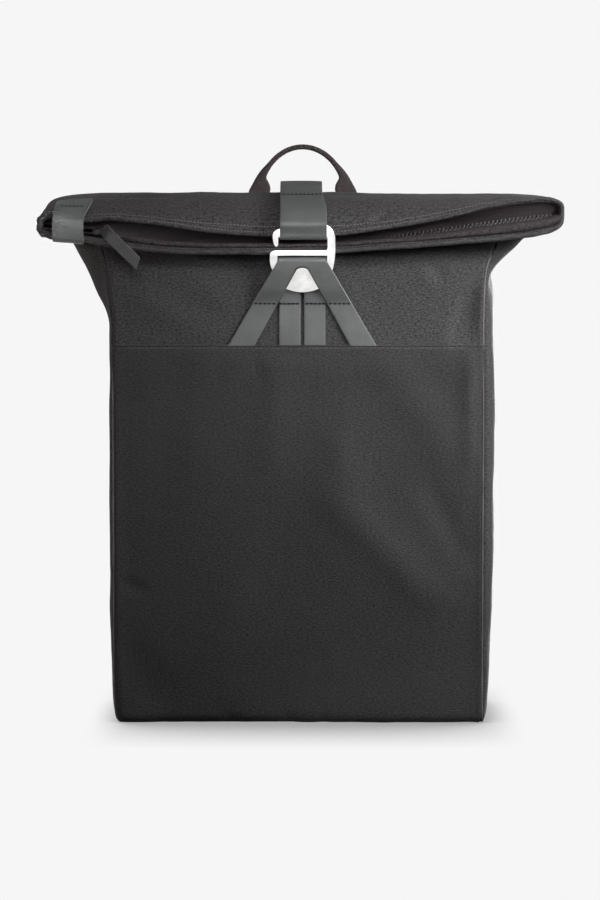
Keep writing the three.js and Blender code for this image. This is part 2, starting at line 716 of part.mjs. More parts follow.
// Closure strap: sewn to the back, over the top in a stiff arch, round the hook's bow and back up inside.
const CLOSURE = [
  { y: backAt(338) + GAP + 0.9, z: 338 },
  { y: backAt(362) + GAP + 0.9, z: 362 },
  { y: backAt(384) + GAP + 1.2, z: 384 },
  { y: 57.5, z: 398.5 },
  { y: 51, z: 411.8 },
  { y: 38, z: 422 },
  { y: 20, z: 427.5 },
  { y: 0, z: 428.6 },
  { y: -22, z: 426.4 },
  { y: -44, z: 420.6 },
  { y: -62, z: 413.2 },
  { y: -76, z: 405 },
];
const CLOSURE_END = [
  { y: -74.4, z: 402.2 },
  { y: -61, z: 410.9 },
  { y: -49.3, z: 416 },
]; // the end lies under the strap that it is sewn to

function closureStrap() {
  const radius = HOOK.thick / 2 + GAP + STRAP_LEATHER / 2;
  const turnUnder = PLATE.bowLow + 0.7;
  const bowTop = PLATE.bowTopRight;
  const loop = [
    onHook(bowTop + 2.2, radius + 0.6),
    onHook(bowTop - 2, radius + 0.3),
    onHook(bowTop - 6, radius),
    ...steps(0, Math.PI, 6).map((angle) =>
      onHook(turnUnder - radius * Math.sin(angle), radius * Math.cos(angle)),
    ),
    onHook(bowTop - 4, -radius),
    onHook(bowTop + 1.5, -radius),
  ];
  const path = [...CLOSURE, ...loop, ...CLOSURE_END].map((at) => ({ ...at, ...STRAP }));
  add("closure_strap", band(path, STRAP_LEATHER), MATERIALS.leather);
}

// Handle: webbing folded to a narrow bar over the arch, and spread flat where it is sewn to the back.
const HANDLE = {
  x: 1,
  y: 66,
  archZ: 414,
  archHalf: 36,
  archRise: 43.6,
  archEnd: 0.92, // share of a quarter turn at which the arch meets its flat feet
  barHalf: 2.1,
  barDeep: 5.5,
  footHalf: 8.6,
  footDeep: 1.6,
  footRows: [372, 384, 394, 403],
};

function handle() {
  const h = HANDLE;
  const topRow = 402; // the back panel turns forward above this height
  const footY = (z) => backAt(Math.min(z, topRow)) + GAP + h.footDeep + 0.1;
  const foot = (side) =>
    h.footRows.map((z, i) => ({
      centre: new THREE.Vector3(h.x + side * (h.archHalf + 1), lerp(footY(z), h.y, i / 6), z),
      across: new THREE.Vector3(1, 0, 0),
      wide: h.footHalf,
      deep: h.footDeep,
    }));
  const arch = steps(-h.archEnd, h.archEnd, 14).map((share) => {
    const angle = share * (Math.PI / 2);
    const nearFoot = smooth(Math.abs(share), 0.62, h.archEnd);
    const y = lerp(h.y, footY(topRow), nearFoot * 0.4);
    return {
      centre: new THREE.Vector3(
        h.x + h.archHalf * Math.sin(angle),
        y,
        h.archZ + h.archRise * Math.cos(angle),
      ),
      across: new THREE.Vector3(-Math.sin(angle), 0, -Math.cos(angle)),
      wide: lerp(h.barHalf, h.footHalf * 0.8, nearFoot),
      deep: lerp(h.barDeep, h.footDeep, nearFoot),
    };
  });
  const out = new THREE.Vector3(0, 1, 0);
  const stations = [...foot(-1), ...arch, ...foot(1).reverse()].map((at) => ({ ...at, out }));
  // Each outline is turned so that its width runs the same way round as its neighbours'.
  for (let i = 1; i < stations.length; i++) {
    const before = stations[i - 1].across;
    if (before.dot(stations[i].across) < 0) stations[i].across.negate();
  }
  add("handle", softBar(stations, 10), MATERIALS.webbing);
}

// Shoulder straps: a padded strap, an adjuster, and webbing to the foot of the back, on each side.
const SHOULDER = {
  topX: 74,
  topZ: 372,
  endX: 104,
  endZ: 142,
  bowOut: 34,
  bowSpan: 0.86, // share of the strap's half wave that shows before its end
  padHalf: 29,
  padEndHalf: 15,
  padDeep: 5.5,
  padEndDeep: 3,
  taper: 0.72, // share of the length at which the pad starts to narrow
  footX: 122,
  footZ: 26,
  webHalf: 12.5,
  webBow: 3,
};
const RING = { half: 16, tall: 24, bar: 4, middleBar: 2.4, thick: 3.6, drop: 3.4, slotEase: 0.7 };

function shoulderStrap(side, word) {
  const s = SHOULDER;
  const bow = (share) => s.bowOut * Math.sin(Math.PI * Math.min(share * s.bowSpan, 1)) ** 0.8;
  const place = (share) => {
    const z = lerp(s.topZ, s.endZ, share);
    const y = backAt(z) + s.padDeep + GAP + 0.2 + bow(share);
    return new THREE.Vector3(side * lerp(s.topX, s.endX, share ** 1.6), y, z);
  };
  const stations = steps(0, 1, 12).map((share) => {
    const along = place(Math.min(share + 0.02, 1)).sub(place(Math.max(share - 0.02, 0))).normalize();
    const across = new THREE.Vector3(1, 0, 0).addScaledVector(along, -along.x).normalize();
    const end = smooth(share, s.taper, 1);
    const start = smooth(0.06 - share, 0, 0.06);
    return {
      centre: place(share),
      across,
      out: new THREE.Vector3().crossVectors(along, across),
      wide: lerp(s.padHalf, s.padEndHalf, end),
      deep: lerp(s.padDeep, s.padEndDeep, Math.max(end, start)),
    };
  });
  add("shoulder_strap_" + word, softBar(stations, 12, 3.2), MATERIALS.canvas);

  const end = place(1);
  const outline = new THREE.Shape();
  outline.moveTo(-RING.half, -RING.tall);
  outline.lineTo(RING.half, -RING.tall);
  outline.lineTo(RING.half, 0);
  outline.lineTo(-RING.half, 0);
  outline.closePath();
  const slotHalf = s.webHalf + RING.slotEase;
  for (const [low, high] of [
    [-RING.tall + RING.bar, -RING.tall / 2 - RING.middleBar / 2],
    [-RING.tall / 2 + RING.middleBar / 2, -RING.bar],
  ]) {
    const slot = new THREE.Path();
    slot.moveTo(-slotHalf, low);
    slot.lineTo(-slotHalf, high);
    slot.lineTo(slotHalf, high);
    slot.lineTo(slotHalf, low);
    slot.closePath();
    outline.holes.push(slot);
  }
  const frame = new THREE.Group();
  frame.position.set(end.x, end.y, end.z - RING.drop);
  bag.add(frame);
  add("strap_adjuster_" + word, plate(outline, RING.thick), MATERIALS.plastic, frame);

  // The webbing runs from the foot of the back panel up to the adjuster and turns round its middle bar.
  const barZ = end.z - RING.drop - RING.tall / 2;
  const barRadius = Math.hypot(RING.thick, RING.middleBar) / 2 + GAP + WEBBING / 2;
  const start = { x: side * s.footX, y: backAt(s.footZ) + GAP + WEBBING / 2 + 0.1, z: s.footZ };
  const between = (share, out) => ({
    x: side * lerp(s.footX, s.endX, share),
    y: lerp(start.y, end.y, out) + s.webBow,
    z: lerp(s.footZ, barZ, share),
  });
  const path = [
    start,
    between(0.3, 0.35),
    between(0.67, 0.85),
    { x: end.x, y: end.y + barRadius, z: barZ - RING.tall / 2 - 1 },
    ...steps(-0.2, Math.PI + 0.2, 6).map((angle) => ({
      x: end.x,
      y: end.y + barRadius * Math.cos(angle),
      z: barZ + barRadius * Math.sin(angle),
    })),
  ].map(({ x, y, z }) => ({ y, z, left: x - s.webHalf, right: x + s.webHalf }));
  add("strap_webbing_" + word, band(path, WEBBING), MATERIALS.webbing);
}

bodyPanels();
basePanel();
rollTop();
zip();
zipSliderAndPull();
endTab();
hook();
hookTab();
closureStrap();
handle();
shoulderStrap(-1, "left");
shoulderStrap(1, "right");

export default bag;
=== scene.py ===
"""Roll-top laptop backpack: cloth, leather, webbing, zip and hook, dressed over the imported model.

Sizes are in millimetres and turned to metres where a mesh is made. +Z is up, the front faces -Y, and +X is
to the right of someone looking at the front.
"""
from types import SimpleNamespace as Sizes

import bmesh
import bpy
import numpy as np
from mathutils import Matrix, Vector


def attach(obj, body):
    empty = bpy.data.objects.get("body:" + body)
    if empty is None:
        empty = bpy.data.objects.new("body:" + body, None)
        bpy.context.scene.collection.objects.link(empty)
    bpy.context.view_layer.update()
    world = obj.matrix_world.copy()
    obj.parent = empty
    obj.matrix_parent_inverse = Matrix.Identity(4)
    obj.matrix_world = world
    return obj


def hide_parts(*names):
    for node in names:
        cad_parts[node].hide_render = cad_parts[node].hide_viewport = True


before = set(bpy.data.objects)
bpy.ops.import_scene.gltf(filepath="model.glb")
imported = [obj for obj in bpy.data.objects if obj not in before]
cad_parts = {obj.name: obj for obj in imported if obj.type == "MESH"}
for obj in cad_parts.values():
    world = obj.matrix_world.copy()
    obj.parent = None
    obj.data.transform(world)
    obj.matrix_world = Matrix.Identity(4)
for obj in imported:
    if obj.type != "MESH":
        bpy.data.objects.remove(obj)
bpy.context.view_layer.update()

MM = 0.001
FRONT, BACK, UP = np.array([[0, -1.0, 0], [0, 1.0, 0], [0, 0, 1.0]])  # directions
# Thicknesses of the materials.
CLOTH = 2.0
UPPER_HEM = 3.2  # the mouth's upper lip, folded over
LOWER_HEM = 4.2
STRAP_LEATHER = 1.8
TAB_LEATHER = 1.6
WEBBING = 1.6
GAP = 0.3  # between pieces that rest on each other
SEAM_Z = 300.7  # top edge of the lower front panel
LAP = 10  # the upper front panel runs this far down behind the lower one
LAP_FADE = 30
STITCH_Z = 333  # seam across the hook tab
SEAM_OUT = {"left": 10.0, "right": 7.2}  # from the flat of the front and back to the seams

# The cloth tube from the base to the mouth, one row for each section: where its front and its back run, half its
# width to the corners of the flat front and to the ridges of the sides, how square the sides are, how far the
# front swells, and how far the heights have moved over to the upper and the lower lip's.
COLUMNS = ("front_y front_z back_y back_z flat_left flat_right ridge_left ridge_right "
           "power_left power_right bulge up down").split()
SECTIONS = {
    "hem": [-57.5, 0.4, 57, 0.4, 137, 135, 147.4, 147, 4.5, 4.5, 0, 0, 0],
    "foot": [-60.5, 7, 59.5, 7, 138, 136, 149.6, 148.6, 4.5, 4.5, 1, 0, 0],
    "low": [-61, 45, 60.5, 45, 138.5, 136, 152, 151.2, 4.5, 4.5, 3, 0, 0],
    "belly": [-62, 160, 61, 160, 138.5, 136, 153.8, 153.2, 4.5, 4.5, 6, 0, 0],
    "waist": [-61.5, 260, 61, 262, 138.5, 136, 153.5, 152.7, 4.5, 4.5, 5, 0, 0],
    "flare": [-60.5, 312, 60, 316, 138.5, 136, 153.6, 152.6, 4, 4.2, 4, 0, 0],
    "shoulder": [-59.5, 340, 58.5, 348, 141, 136.5, 164.8, 152.8, 2.4, 3.8, 3, 0, 0],
    "yoke": [-57.5, 358, 56, 371, 143, 138, 174.2, 156.6, 1.8, 2.6, 2, 0, 0],
    "brow": [-51, 372.5, 53.5, 391, 146, 143, 183.4, 172.9, 1.8, 2.1, 1, 0, 0],
    "tuck": [-32, 380.5, 50, 404, 148, 147, 190.6, 185.2, 1.9, 2, 0, 0, 0],
    "under": [-8, 388.2, 45, 412, 150, 150, 195.4, 194.2, 1.9, 2, 0, 0, 0],
    "crease": [12, 397.8, 38, 417.2, 150, 150, 198.3, 199.5, 2, 2.3, 0, 0, 0],
    "turn": [17, 402, 30, 419.3, 150, 150, 200, 201.5, 2.2, 2.8, 0, 0, 0],
    "root": [12, 405.2, 20, 419.9, 150, 150, 200.8, 203, 2.2, 3.2, 0, 0, 0],
    "crest": [-15, 404, -6, 419.8, 150, 150, 201.4, 204, 2.2, 3.6, 0, 0, 0.1],
    "slope": [-45, 397, -42, 418.2, 150, 150, 203.6, 204.4, 2.4, 4, 0, 0.15, 0.45],
    "nose": [-64, 391, -64, 414, 150, 150, 206, 204.4, 3.4, 4.4, 0, 0.5, 0.85],
    "lip": [-74, 388, -74, 412, 150, 150, 205.6, 204.4, 4.4, 4.6, 0, 1, 1],
}
ROW = {name: i for i, name in enumerate(SECTIONS)}
BODY_TOP = ROW["turn"] - 0.16  # the body's panels end a little inside the crease
NEAR_LIP = 16.1  # the roll's rows lie closer together from here to the lip

# Heights of the mouth's two lips along X: x, top, bottom.
LIPS = np.array([
    [-207, 404, 384], [-197, 404, 383], [-184, 401, 382.8], [-172, 399, 382], [-162, 399.4, 380],
    [-150, 400.5, 378], [-131, 399, 375.8],
    [-101, 395.2, 373.2], [-71, 390.6, 372.2], [-25, 387.8, 372.4], [28, 388.4, 373.2], [58, 392.2, 375.4],
    [88, 396.8, 377.3], [118, 403, 379.9], [148, 410.6, 382.2], [172, 414.6, 384.5], [194, 416.6, 387.6],
    [205, 416.6, 389.6],
])

# Folds and hollows of the roll and the sides: how wide each is, how far it stands out, and its line.
FOLDS = [
    # shoulders: the pinch at the right corner, and the hollow of the left flare
    (9, -4.5, (157, 20, 358), (157, -10, 358), (152, -45, 350), (146, -54, 345)),
    (16, -2.5, (-160, -40, 352), (-148, -50, 318)),
    # roll top: the dent beside the strap, soft dents, the fold by the left seam, the crossing on the right
    (2.6, -2.6, (55, -71, 397), (69, -62, 405)),
    (4, 0.8, (49, -70, 398), (62, -60, 407)),
    (5, -1.2, (22, -25, 417), (58, -20, 418)),
    (8, -1.6, (-104, -52, 409), (-90, -34, 416)),
    (6, -1.2, (-94, -63, 404), (-82, -55, 408)),
    (4, -1.8, (-162, -34, 418), (-132, -32, 418), (-104, -30, 418)),
    (6.5, -2.0, (140, -58, 411), (160, -20, 418)),
    (5.5, 1.1, (152, -52, 414), (166, -16, 418)),
    (11, -1.2, (-60, -62, 404), (-118, -50, 414)),
    (9, 1.0, (96, -62, 406), (128, -40, 416)),
    (30, -2.2, (90, -6, 420), (150, -12, 420), (205, -10, 418)),
    # pleats of the left end, beyond the end tab
    (2.6, -1.8, (-203, -72, 400), (-206, -20, 408)),
    (2.6, -1.6, (-199, -70, 404), (-201, -30, 414)),
    (2.6, -1.6, (-203, -70, 386), (-207, -30, 398)),
]
# Folds of the front in the same way, with their lines in X and Z.
FRONT_FOLDS = [
    # lower panel: soft ridges that run down from the hook tab, and the long one towards the right seam
    (14, 2.3, (-17, 297), (-22, 250), (-27, 200)),
    (20, 1.7, (12, 290), (27, 255), (33, 215), (36, 165)),
    (17, 4.0, (8, 200), (27, 174), (52, 152), (73, 131), (90, 111), (120, 95)),
    (15, 1.9, (26, 232), (34, 200), (48, 176)),
    (34, 2.2, (-4, 182), (36, 140), (80, 98)),
    (19, 2.6, (58, 294), (82, 266), (101, 241), (118, 200)),
    (15, -2.0, (-96, 290), (-104, 230), (-113, 165)),
    (17, 1.4, (-38, 150), (-54, 105), (-70, 60)),
    (18, -2.0, (-138, 62), (-118, 26), (-98, 12)),
    (10, -2.0, (100, 192), (114, 162), (128, 132)),
    (11, 3.2, (136, 297), (137, 250), (136, 205)),
    (6, 1.0, (138, 124), (118, 112)),
    # short pulls below the seam, beside the side seams and along the hem
    (6, -0.9, (-64, 297), (-66, 268)),
    (5, -0.9, (-36, 297), (-33, 270)),
    (5, -1.3, (-148, 252), (-124, 257)),
    (5, -1.3, (-148, 114), (-122, 106)),
    (5, -1.0, (148, 236), (128, 244)),
    (6, -1.3, (-57, 0), (-57, 9)),
    (6, -1.3, (-11, 0), (-11, 9)),
    (6, -1.3, (17, 0), (17, 9)),
    # upper panel: the hollow below the right corner, a dimple, and slanting bands on the left
    (9, -3.6, (142, 343), (132, 323), (128, 300)),
    (4.5, -2.4, (143, 347), (129, 335), (121, 312), (120, 297)),
    (7, 1.6, (90, 360), (104, 346)),
    (6, -1.8, (103, 362), (112, 350)),
    (10, 1.0, (-142, 346), (-102, 323), (-66, 306)),
    (9, -1.0, (-120, 352), (-82, 331), (-60, 320)),
    (9, 0.9, (-94, 356), (-66, 340), (-54, 334)),
]
# Sewn seams that run over the roll top and pull it in, in the same way.
ROLL_SEAMS = [
    (1.0, -1.5, (-162.5, 10, 419), (-162.5, -76, 402)),
    (1.0, -1.5, (156, 10, 419), (156, -76, 412)),
]

# Long soft swells of the cloth: how high, how long, and the seed of each.
SWELLS = [(0.8, 120, 3), (0.45, 42, 5), (0.14, 15, 8)]
# The patch under the hook tab, where the cloth lies flat: half its width at its foot and its top, the height
# between them, and the bands over which it fades out beside, below and above.
FLAT_PATCH = Sizes(foot_half=62, top_half=24, tall=70, beside=10, below=(285, 298), above=(366, 376))

HOOK = Sizes(x=0.6, y=-67, z=342, tilt=np.radians(16), thick=2.4)
STRAP = Sizes(left=-16.8, top_right=16.4, loop_right=19.6, front_sewn_y=-51.5, rear_sewn_z=346)


def mix(a, b, share):
    """The value a share of the way from a to b."""
    return a + (b - a) * share


def smooth(x, low, high):
    """0 below low, 1 above high, and an even S between them."""
    t = np.clip((x - low) / (high - low), 0, 1)
    return t * t * (3 - 2 * t)


def unit(vectors):
    """Vectors along the last axis, at length one."""
    return vectors / np.maximum(np.linalg.norm(vectors, axis=-1, keepdims=True), 1e-12)


def walked(points, axis=0):
    """The length so far along a line of points, or along one axis of a grid of them."""
    steps = np.linalg.norm(np.diff(points, axis=axis), axis=-1)
    return np.insert(np.cumsum(steps, axis=axis), 0, 0, axis=axis)


def bell(away, wide):
    """1 at 0, falling off on both sides: the exponential of minus the square of away over wide."""
    return np.exp(-((away / wide) ** 2))


def blunt(angle, power):
    """The cosine and the sine of angles, each to a power with its sign kept: points of a superellipse."""
    return [np.sign(k) * np.abs(k) ** power for k in (np.cos(angle), np.sin(angle))]


def through(keys, values):
    """Cubic pieces through values at keys. A key's slope is the harmonic mean of the rises beside it, or
    zero where they differ in sign, so the curve never overshoots."""
    keys, values = np.asarray(keys, float), np.asarray(values, float)
    spans = np.diff(keys)
    rises = np.diff(values) / spans
    before, after = np.r_[rises[0], rises], np.r_[rises, rises[-1]]
    same = before * after > 0
    slopes = np.where(same, 2 * before * after / np.where(same, before + after, 1), 0)

    def curve(key):
        """The cubic of the piece that a key lies in, from the values and slopes at its two ends."""
        key = np.clip(key, keys[0], keys[-1])
        i = np.clip(np.searchsorted(keys, key, side="right") - 1, 0, len(spans) - 1)
        t = (key - keys[i]) / spans[i]
        return (values[i] * (1 + 2 * t) * (1 - t) ** 2 + slopes[i] * spans[i] * t * (1 - t) ** 2
                + values[i + 1] * t * t * (3 - 2 * t) + slopes[i + 1] * spans[i] * t * t * (t - 1))

    return curve


SECTION = {
    name: through(range(len(SECTIONS)), [row[c] for row in SECTIONS.values()]) for c, name in enumerate(COLUMNS)
}
lip_top = through(LIPS[:, 0], LIPS[:, 1])
lip_bottom = through(LIPS[:, 0], LIPS[:, 2])


def row_at(column, value):
    """The row at which a column reaches a value on its way up from the base, read back from a fine table."""
    rows = np.linspace(0, ROW["turn"], 6000)
    return np.interp(value, SECTION[column](rows), rows)


def section_at(row):
    """The value of every column at a row."""
    return Sizes(**{name: curve(row) for name, curve in SECTION.items()})


def across_section(at, x, across):
    """Y and Z of places in a section, from its front at across -1 to its back at 1. Near the mouth the heights
    move over to the lips' heights at X."""
    to_back = (across + 1) / 2
    front_z = mix(at.front_z, lip_bottom(x), at.down)
    back_z = mix(at.back_z, lip_top(x), at.up)
    return mix(at.front_y, at.back_y, to_back), mix(front_z, back_z, to_back)


def narrowing(x, flat, ridge, power):
    """How much of its depth a section has left at X: 1 on the flat, then as a superellipse to 0 at the ridge."""
    over = np.clip((np.abs(x) - flat) / (ridge - flat), 0, 1)
    return (1 - over ** power) ** (1 / power)


def plain_skin(turn, row):
    """The outside of the smooth cloth tube. Turn 0 to 1 is the front from left to right, 1 to 2 the right
    side, 2 to 3 the back and 3 to 4 the left side. The front and back are straight; a side is half a
    superellipse between them. The front swells as a parabola across it."""
    turn = np.mod(turn, 4)
    at = section_at(row)
    part = np.floor(turn)
    share = turn - part
    right = part == 1
    way = np.where(right, 1.0, -1.0)
    flat = np.where(right, at.flat_right, at.flat_left)
    reach = np.where(right, at.ridge_right, at.ridge_left) - flat
    power = 2 / np.where(right, at.power_right, at.power_left)
    side_out, side_across = blunt(np.pi * way * (share - 0.5), power)
    front = part == 0
    flat_x = mix(-at.flat_left, at.flat_right, np.where(front, share, 1 - share))
    on_side = part % 2 == 1
    x = np.where(on_side, way * (flat + reach * side_out), flat_x)
    across = np.where(on_side, side_across, np.where(front, -1.0, 1.0))
    swell = np.where(front, at.bulge * (1 - (2 * share - 1) ** 2), 0)
    y, z = across_section(at, x, across)
    return np.stack([x, y - swell, z], -1)


def outward(turn, row):
    """The direction out of the skin: the slope along the turn crossed with the slope up the rows."""
    step = 0.004
    along = plain_skin(turn + step, row) - plain_skin(turn - step, row)
    up = plain_skin(turn, np.minimum(row + step, ROW["lip"])) - plain_skin(turn, np.maximum(row - step, 0))
    return unit(np.cross(along, up))


def ridges(points, folds):
    """How far folds stand out at points. Each is a bell of the distance to its line, which may have corners,
    and it fades towards both ends of the line."""
    total = np.zeros(points.shape[:-1])
    for wide, out, *line in folds:
        line = np.array(line, float)
        length = walked(line)
        nearest, along = np.full(total.shape, np.inf), np.zeros(total.shape)
        for k, way in enumerate(np.diff(line, axis=0)):
            share = np.clip((points - line[k]) @ way / (way @ way), 0, 1)
            away = np.linalg.norm(points - line[k] - share[..., None] * way, axis=-1)
            along = np.where(away < nearest, mix(length[k], length[k + 1], share) / length[-1], along)
            nearest = np.minimum(nearest, away)
        fade = 0.2 + 0.8 * np.sqrt(np.clip(4 * along * (1 - along), 0, 1))
        total += out * fade * bell(nearest, wide)
    return total


def ripple(points, length, seed):
    """Soft unevenness: the mean of ten sine waves of about one length, whose directions and starts the seed
    fixes, scaled to reach about one."""
    draw = np.random.default_rng(seed)
    ways = unit(draw.normal(size=(10, 3)))
    lengths = length * draw.uniform(0.7, 1.5, 10)
    starts = draw.uniform(0, 2 * np.pi, 10)
    return np.sin(2 * np.pi * (points @ ways.T) / lengths + starts).mean(-1) * 2


def crumple(points):
    """The cloth's own relief: its folds, long soft swells and small creases. It lies flat under the hook tab."""
    x, y, z = points[..., 0], points[..., 1], points[..., 2]
    swells = sum(high * ripple(points, long, seed) for high, long, seed in SWELLS)
    patch = FLAT_PATCH
    front = smooth(-y, 20, 40)
    half = mix(patch.foot_half, patch.top_half, np.clip((z - SEAM_Z) / patch.tall, 0, 1))
    under_tab = front * (1 - smooth(np.abs(x), half, half + patch.beside)) * smooth(z, *patch.below)
    under_tab = under_tab * (1 - smooth(z, *patch.above))
    folds = ridges(points, FOLDS) + front * ridges(points[..., [0, 2]], FRONT_FOLDS)
    return (folds + swells) * (1 - 0.9 * under_tab)


# Meshes

def new_object(name, points, faces, uv=None):
    """An object from points in millimetres and faces by index, with its flat layout in metres as UV map."""
    mesh = bpy.data.meshes.new(name)
    mesh.from_pydata((np.asarray(points).reshape(-1, 3) * MM).tolist(), [], faces)
    if uv is not None:
        layer = mesh.uv_layers.new(name="flat")
        layer.data.foreach_set("uv", np.asarray(uv, np.float32).ravel())
    mesh.polygons.foreach_set("use_smooth", np.ones(len(mesh.polygons), bool))
    mesh.update()
    piece = bpy.data.objects.new(name, mesh)
    bpy.context.collection.objects.link(piece)
    return piece


def grid_faces(rows, columns, close_rows=False, close_columns=False):
    """Four corners of every cell of a grid of points, counted row by row."""
    i = np.arange(rows if close_rows else rows - 1)[:, None]
    j = np.arange(columns if close_columns else columns - 1)[None, :]
    i_next, j_next = (i + 1) % rows, (j + 1) % columns
    corners = [i * columns + j, i * columns + j_next, i_next * columns + j_next, i_next * columns + j]
    return np.stack(corners, -1).reshape(-1, 4)


def grid_object(name, *grids, close_rows=False, close_columns=False):
    """A surface through one or more grids of points. Its UV map is each corner's distance along its row, from
    the middle, and up its column."""
    points, faces, uvs, start = [], [], [], 0
    for grid in grids:
        rows, columns = grid.shape[:2]
        whole = np.concatenate([grid, grid[:1]]) if close_rows else grid
        whole = np.concatenate([whole, whole[:, :1]], 1) if close_columns else whole
        across, up = walked(whole, 1), walked(whole)
        flat = np.stack([across - across[:, [across.shape[1] // 2]], up], -1) * MM
        corners = np.stack([flat[:-1, :-1], flat[:-1, 1:], flat[1:, 1:], flat[1:, :-1]], -2)
        points.append(grid.reshape(-1, 3))
        faces += (grid_faces(rows, columns, close_rows, close_columns) + start).tolist()
        uvs.append(corners.reshape(-1, 2))
        start += rows * columns
    return new_object(name, np.concatenate(points), faces, np.concatenate(uvs))


def weld(piece, within=0.00002):
    """Merges doubled points and turns all faces outwards."""
    shape = bmesh.new()
    shape.from_mesh(piece.data)
    bmesh.ops.remove_doubles(shape, verts=shape.verts, dist=within)
    bmesh.ops.dissolve_degenerate(shape, edges=shape.edges, dist=within / 4)
    bmesh.ops.recalc_face_normals(shape, faces=shape.faces)
    shape.to_mesh(piece.data)
    shape.free()
    return piece


def thicken(piece, thick, offset=0.0, bevel=0.0, rim=0):
    """Gives a surface a wall of an even thickness, with its cut edges rounded off."""
    wall = piece.modifiers.new("wall", "SOLIDIFY")
    wall.thickness = thick * MM
    wall.offset = offset
    wall.material_offset_rim = rim
    if bevel:
        edge = piece.modifiers.new("edge", "BEVEL")
        edge.width = bevel * MM
        edge.segments = 2
        edge.limit_method = "ANGLE"
        edge.angle_limit = np.radians(50)
    return piece


def dress(piece, slot, *materials, stands_for=()):
    """Puts a piece on the bag: its body, its finishes and the solids that it stands for. Slot is not used."""
    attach(piece, "root")
    for material in materials:
        piece.data.materials.append(material)
    if stands_for:
        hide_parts(*stands_for)
    return piece


def coordinates(mesh):
    """The points of a mesh, in metres."""
    flat = np.empty(len(mesh.vertices) * 3)
    mesh.vertices.foreach_get("co", flat)
    return flat.reshape(-1, 3)


def read_along(values, length, at):
    """Values along a line, read at lengths from its start."""
    return np.stack([np.interp(at, length, column) for column in values.T], -1)


def path_line(points, step):
    """A smooth line through points at about equal steps: each coordinate is a curve over the length so far."""
    points = np.asarray(points, float)
    along = walked(points)
    fine = np.linspace(0, along[-1], int(along[-1] * 4) + 2)
    line = np.stack([through(along, column)(fine) for column in points.T], -1)
    length = walked(line)
    return read_along(line, length, np.linspace(0, length[-1], int(np.ceil(length[-1] / step)) + 1))


def small_copies(name, shape, faces, centres, along, out):
    """Many copies of one small shape. A copy's X, Y and Z run along the line, across it and out of it."""
    along = unit(along)
    out = unit(out - (out * along).sum(-1, keepdims=True) * along)
    across = np.cross(out, along)
    turn = np.stack([along, across, out], 1)
    points = centres[:, None] + np.einsum("pk,nkc->npc", shape, turn)
    counts = np.arange(len(centres)) * len(shape)
    every = [[corner + start for corner in face] for start in counts.tolist() for face in faces]
    return new_object(name, points, every)


def bead(long, wide, high):
    """A small spindle along X: five rings of six points, fullest in the middle, with its ends closed."""
    share = np.array([-1, -0.78, 0, 0.78, 1.0])
    full = np.array([0.4, 0.82, 1, 0.82, 0.4])
    angle = np.arange(6) * np.pi / 3
    rings = np.stack([
        np.broadcast_to(share[:, None] * long / 2, (5, 6)),
        full[:, None] * np.cos(angle) * wide / 2,
        full[:, None] * np.sin(angle) * high / 2,
    ], -1)
    faces = grid_faces(5, 6, close_columns=True)[:, ::-1].tolist()
    return rings.reshape(-1, 3), faces + [list(range(6)), list(range(29, 23, -1))]


def stitch_row(name, line, out, slot, material, pitch=3.4, long=2.6, thread=0.75):
    """A row of stitches at equal steps along a line, each a bead of thread that lies on the surface. Out is one
    direction for all of them or one for each point."""
    out = np.broadcast_to(out, line.shape)
    length = walked(line)
    count = max(int(length[-1] / pitch), 1)
    at = (np.arange(count) + 0.5) * length[-1] / count
    along = read_along(line, length, at + 0.5) - read_along(line, length, at - 0.5)
    shape, faces = bead(long, thread, thread * 0.8)
    piece = small_copies(name, shape, faces, read_along(line, length, at), along, read_along(out, length, at))
    return dress(piece, slot, material)


def swept(name, centres, out, wide, deep, sides, power, across=None):
    """A bar whose outline, a superellipse of half-sizes wide and deep, is carried along centres. Across is at
    right angles to the line and to out, unless it is given. Wide may be a pair of half-sizes, for the side
    towards across and the side away from it. Both ends are closed."""
    out = np.broadcast_to(out, centres.shape)
    if across is None:
        across = unit(np.cross(unit(np.gradient(centres, axis=0)), out))
    across = np.broadcast_to(across, centres.shape)
    both = wide if isinstance(wide, tuple) else (wide, wide)
    near, far, deep = (np.broadcast_to(size, len(centres))[:, None] for size in (*both, deep))
    c, s = blunt(np.arange(sides) * 2 * np.pi / sides, 2 / power)
    reach = np.where(c > 0, near, far) * c
    rings = centres[:, None] + reach[..., None] * across[:, None] + (deep * s)[..., None] * out[:, None]
    caps = [np.broadcast_to(rings[k].mean(0), rings[k].shape) for k in (0, -1)]
    rings = np.concatenate([caps[:1], rings, caps[1:]])
    return weld(grid_object(name, rings, close_columns=True))


def flat_plate(name, loops, thick, bevel):
    """Points and faces of a flat plate in X and Z: an outline and its holes, filled, given a thickness and rounded
    edges."""
    curve = bpy.data.curves.new(name, "CURVE")
    curve.dimensions = "2D"
    curve.fill_mode = "BOTH"
    curve.extrude = (thick / 2 - bevel) * MM
    curve.bevel_depth = bevel * MM
    curve.bevel_resolution = 2
    curve.offset = -bevel * MM
    for loop in loops:
        spline = curve.splines.new("POLY")
        spline.points.add(len(loop) - 1)
        flat = np.zeros((len(loop), 4))
        flat[:, :2] = np.asarray(loop) * MM
        spline.points.foreach_set("co", flat.ravel())
        spline.use_cyclic_u = True
    drawn = bpy.data.objects.new(name, curve)
    mesh = bpy.data.meshes.new_from_object(drawn)
    bpy.data.objects.remove(drawn)
    bpy.data.curves.remove(curve)
    points = coordinates(mesh) / MM
    faces = [list(face.vertices) for face in mesh.polygons]
    bpy.data.meshes.remove(mesh)
    return points[:, [0, 2, 1]] * [1, -1, 1], faces


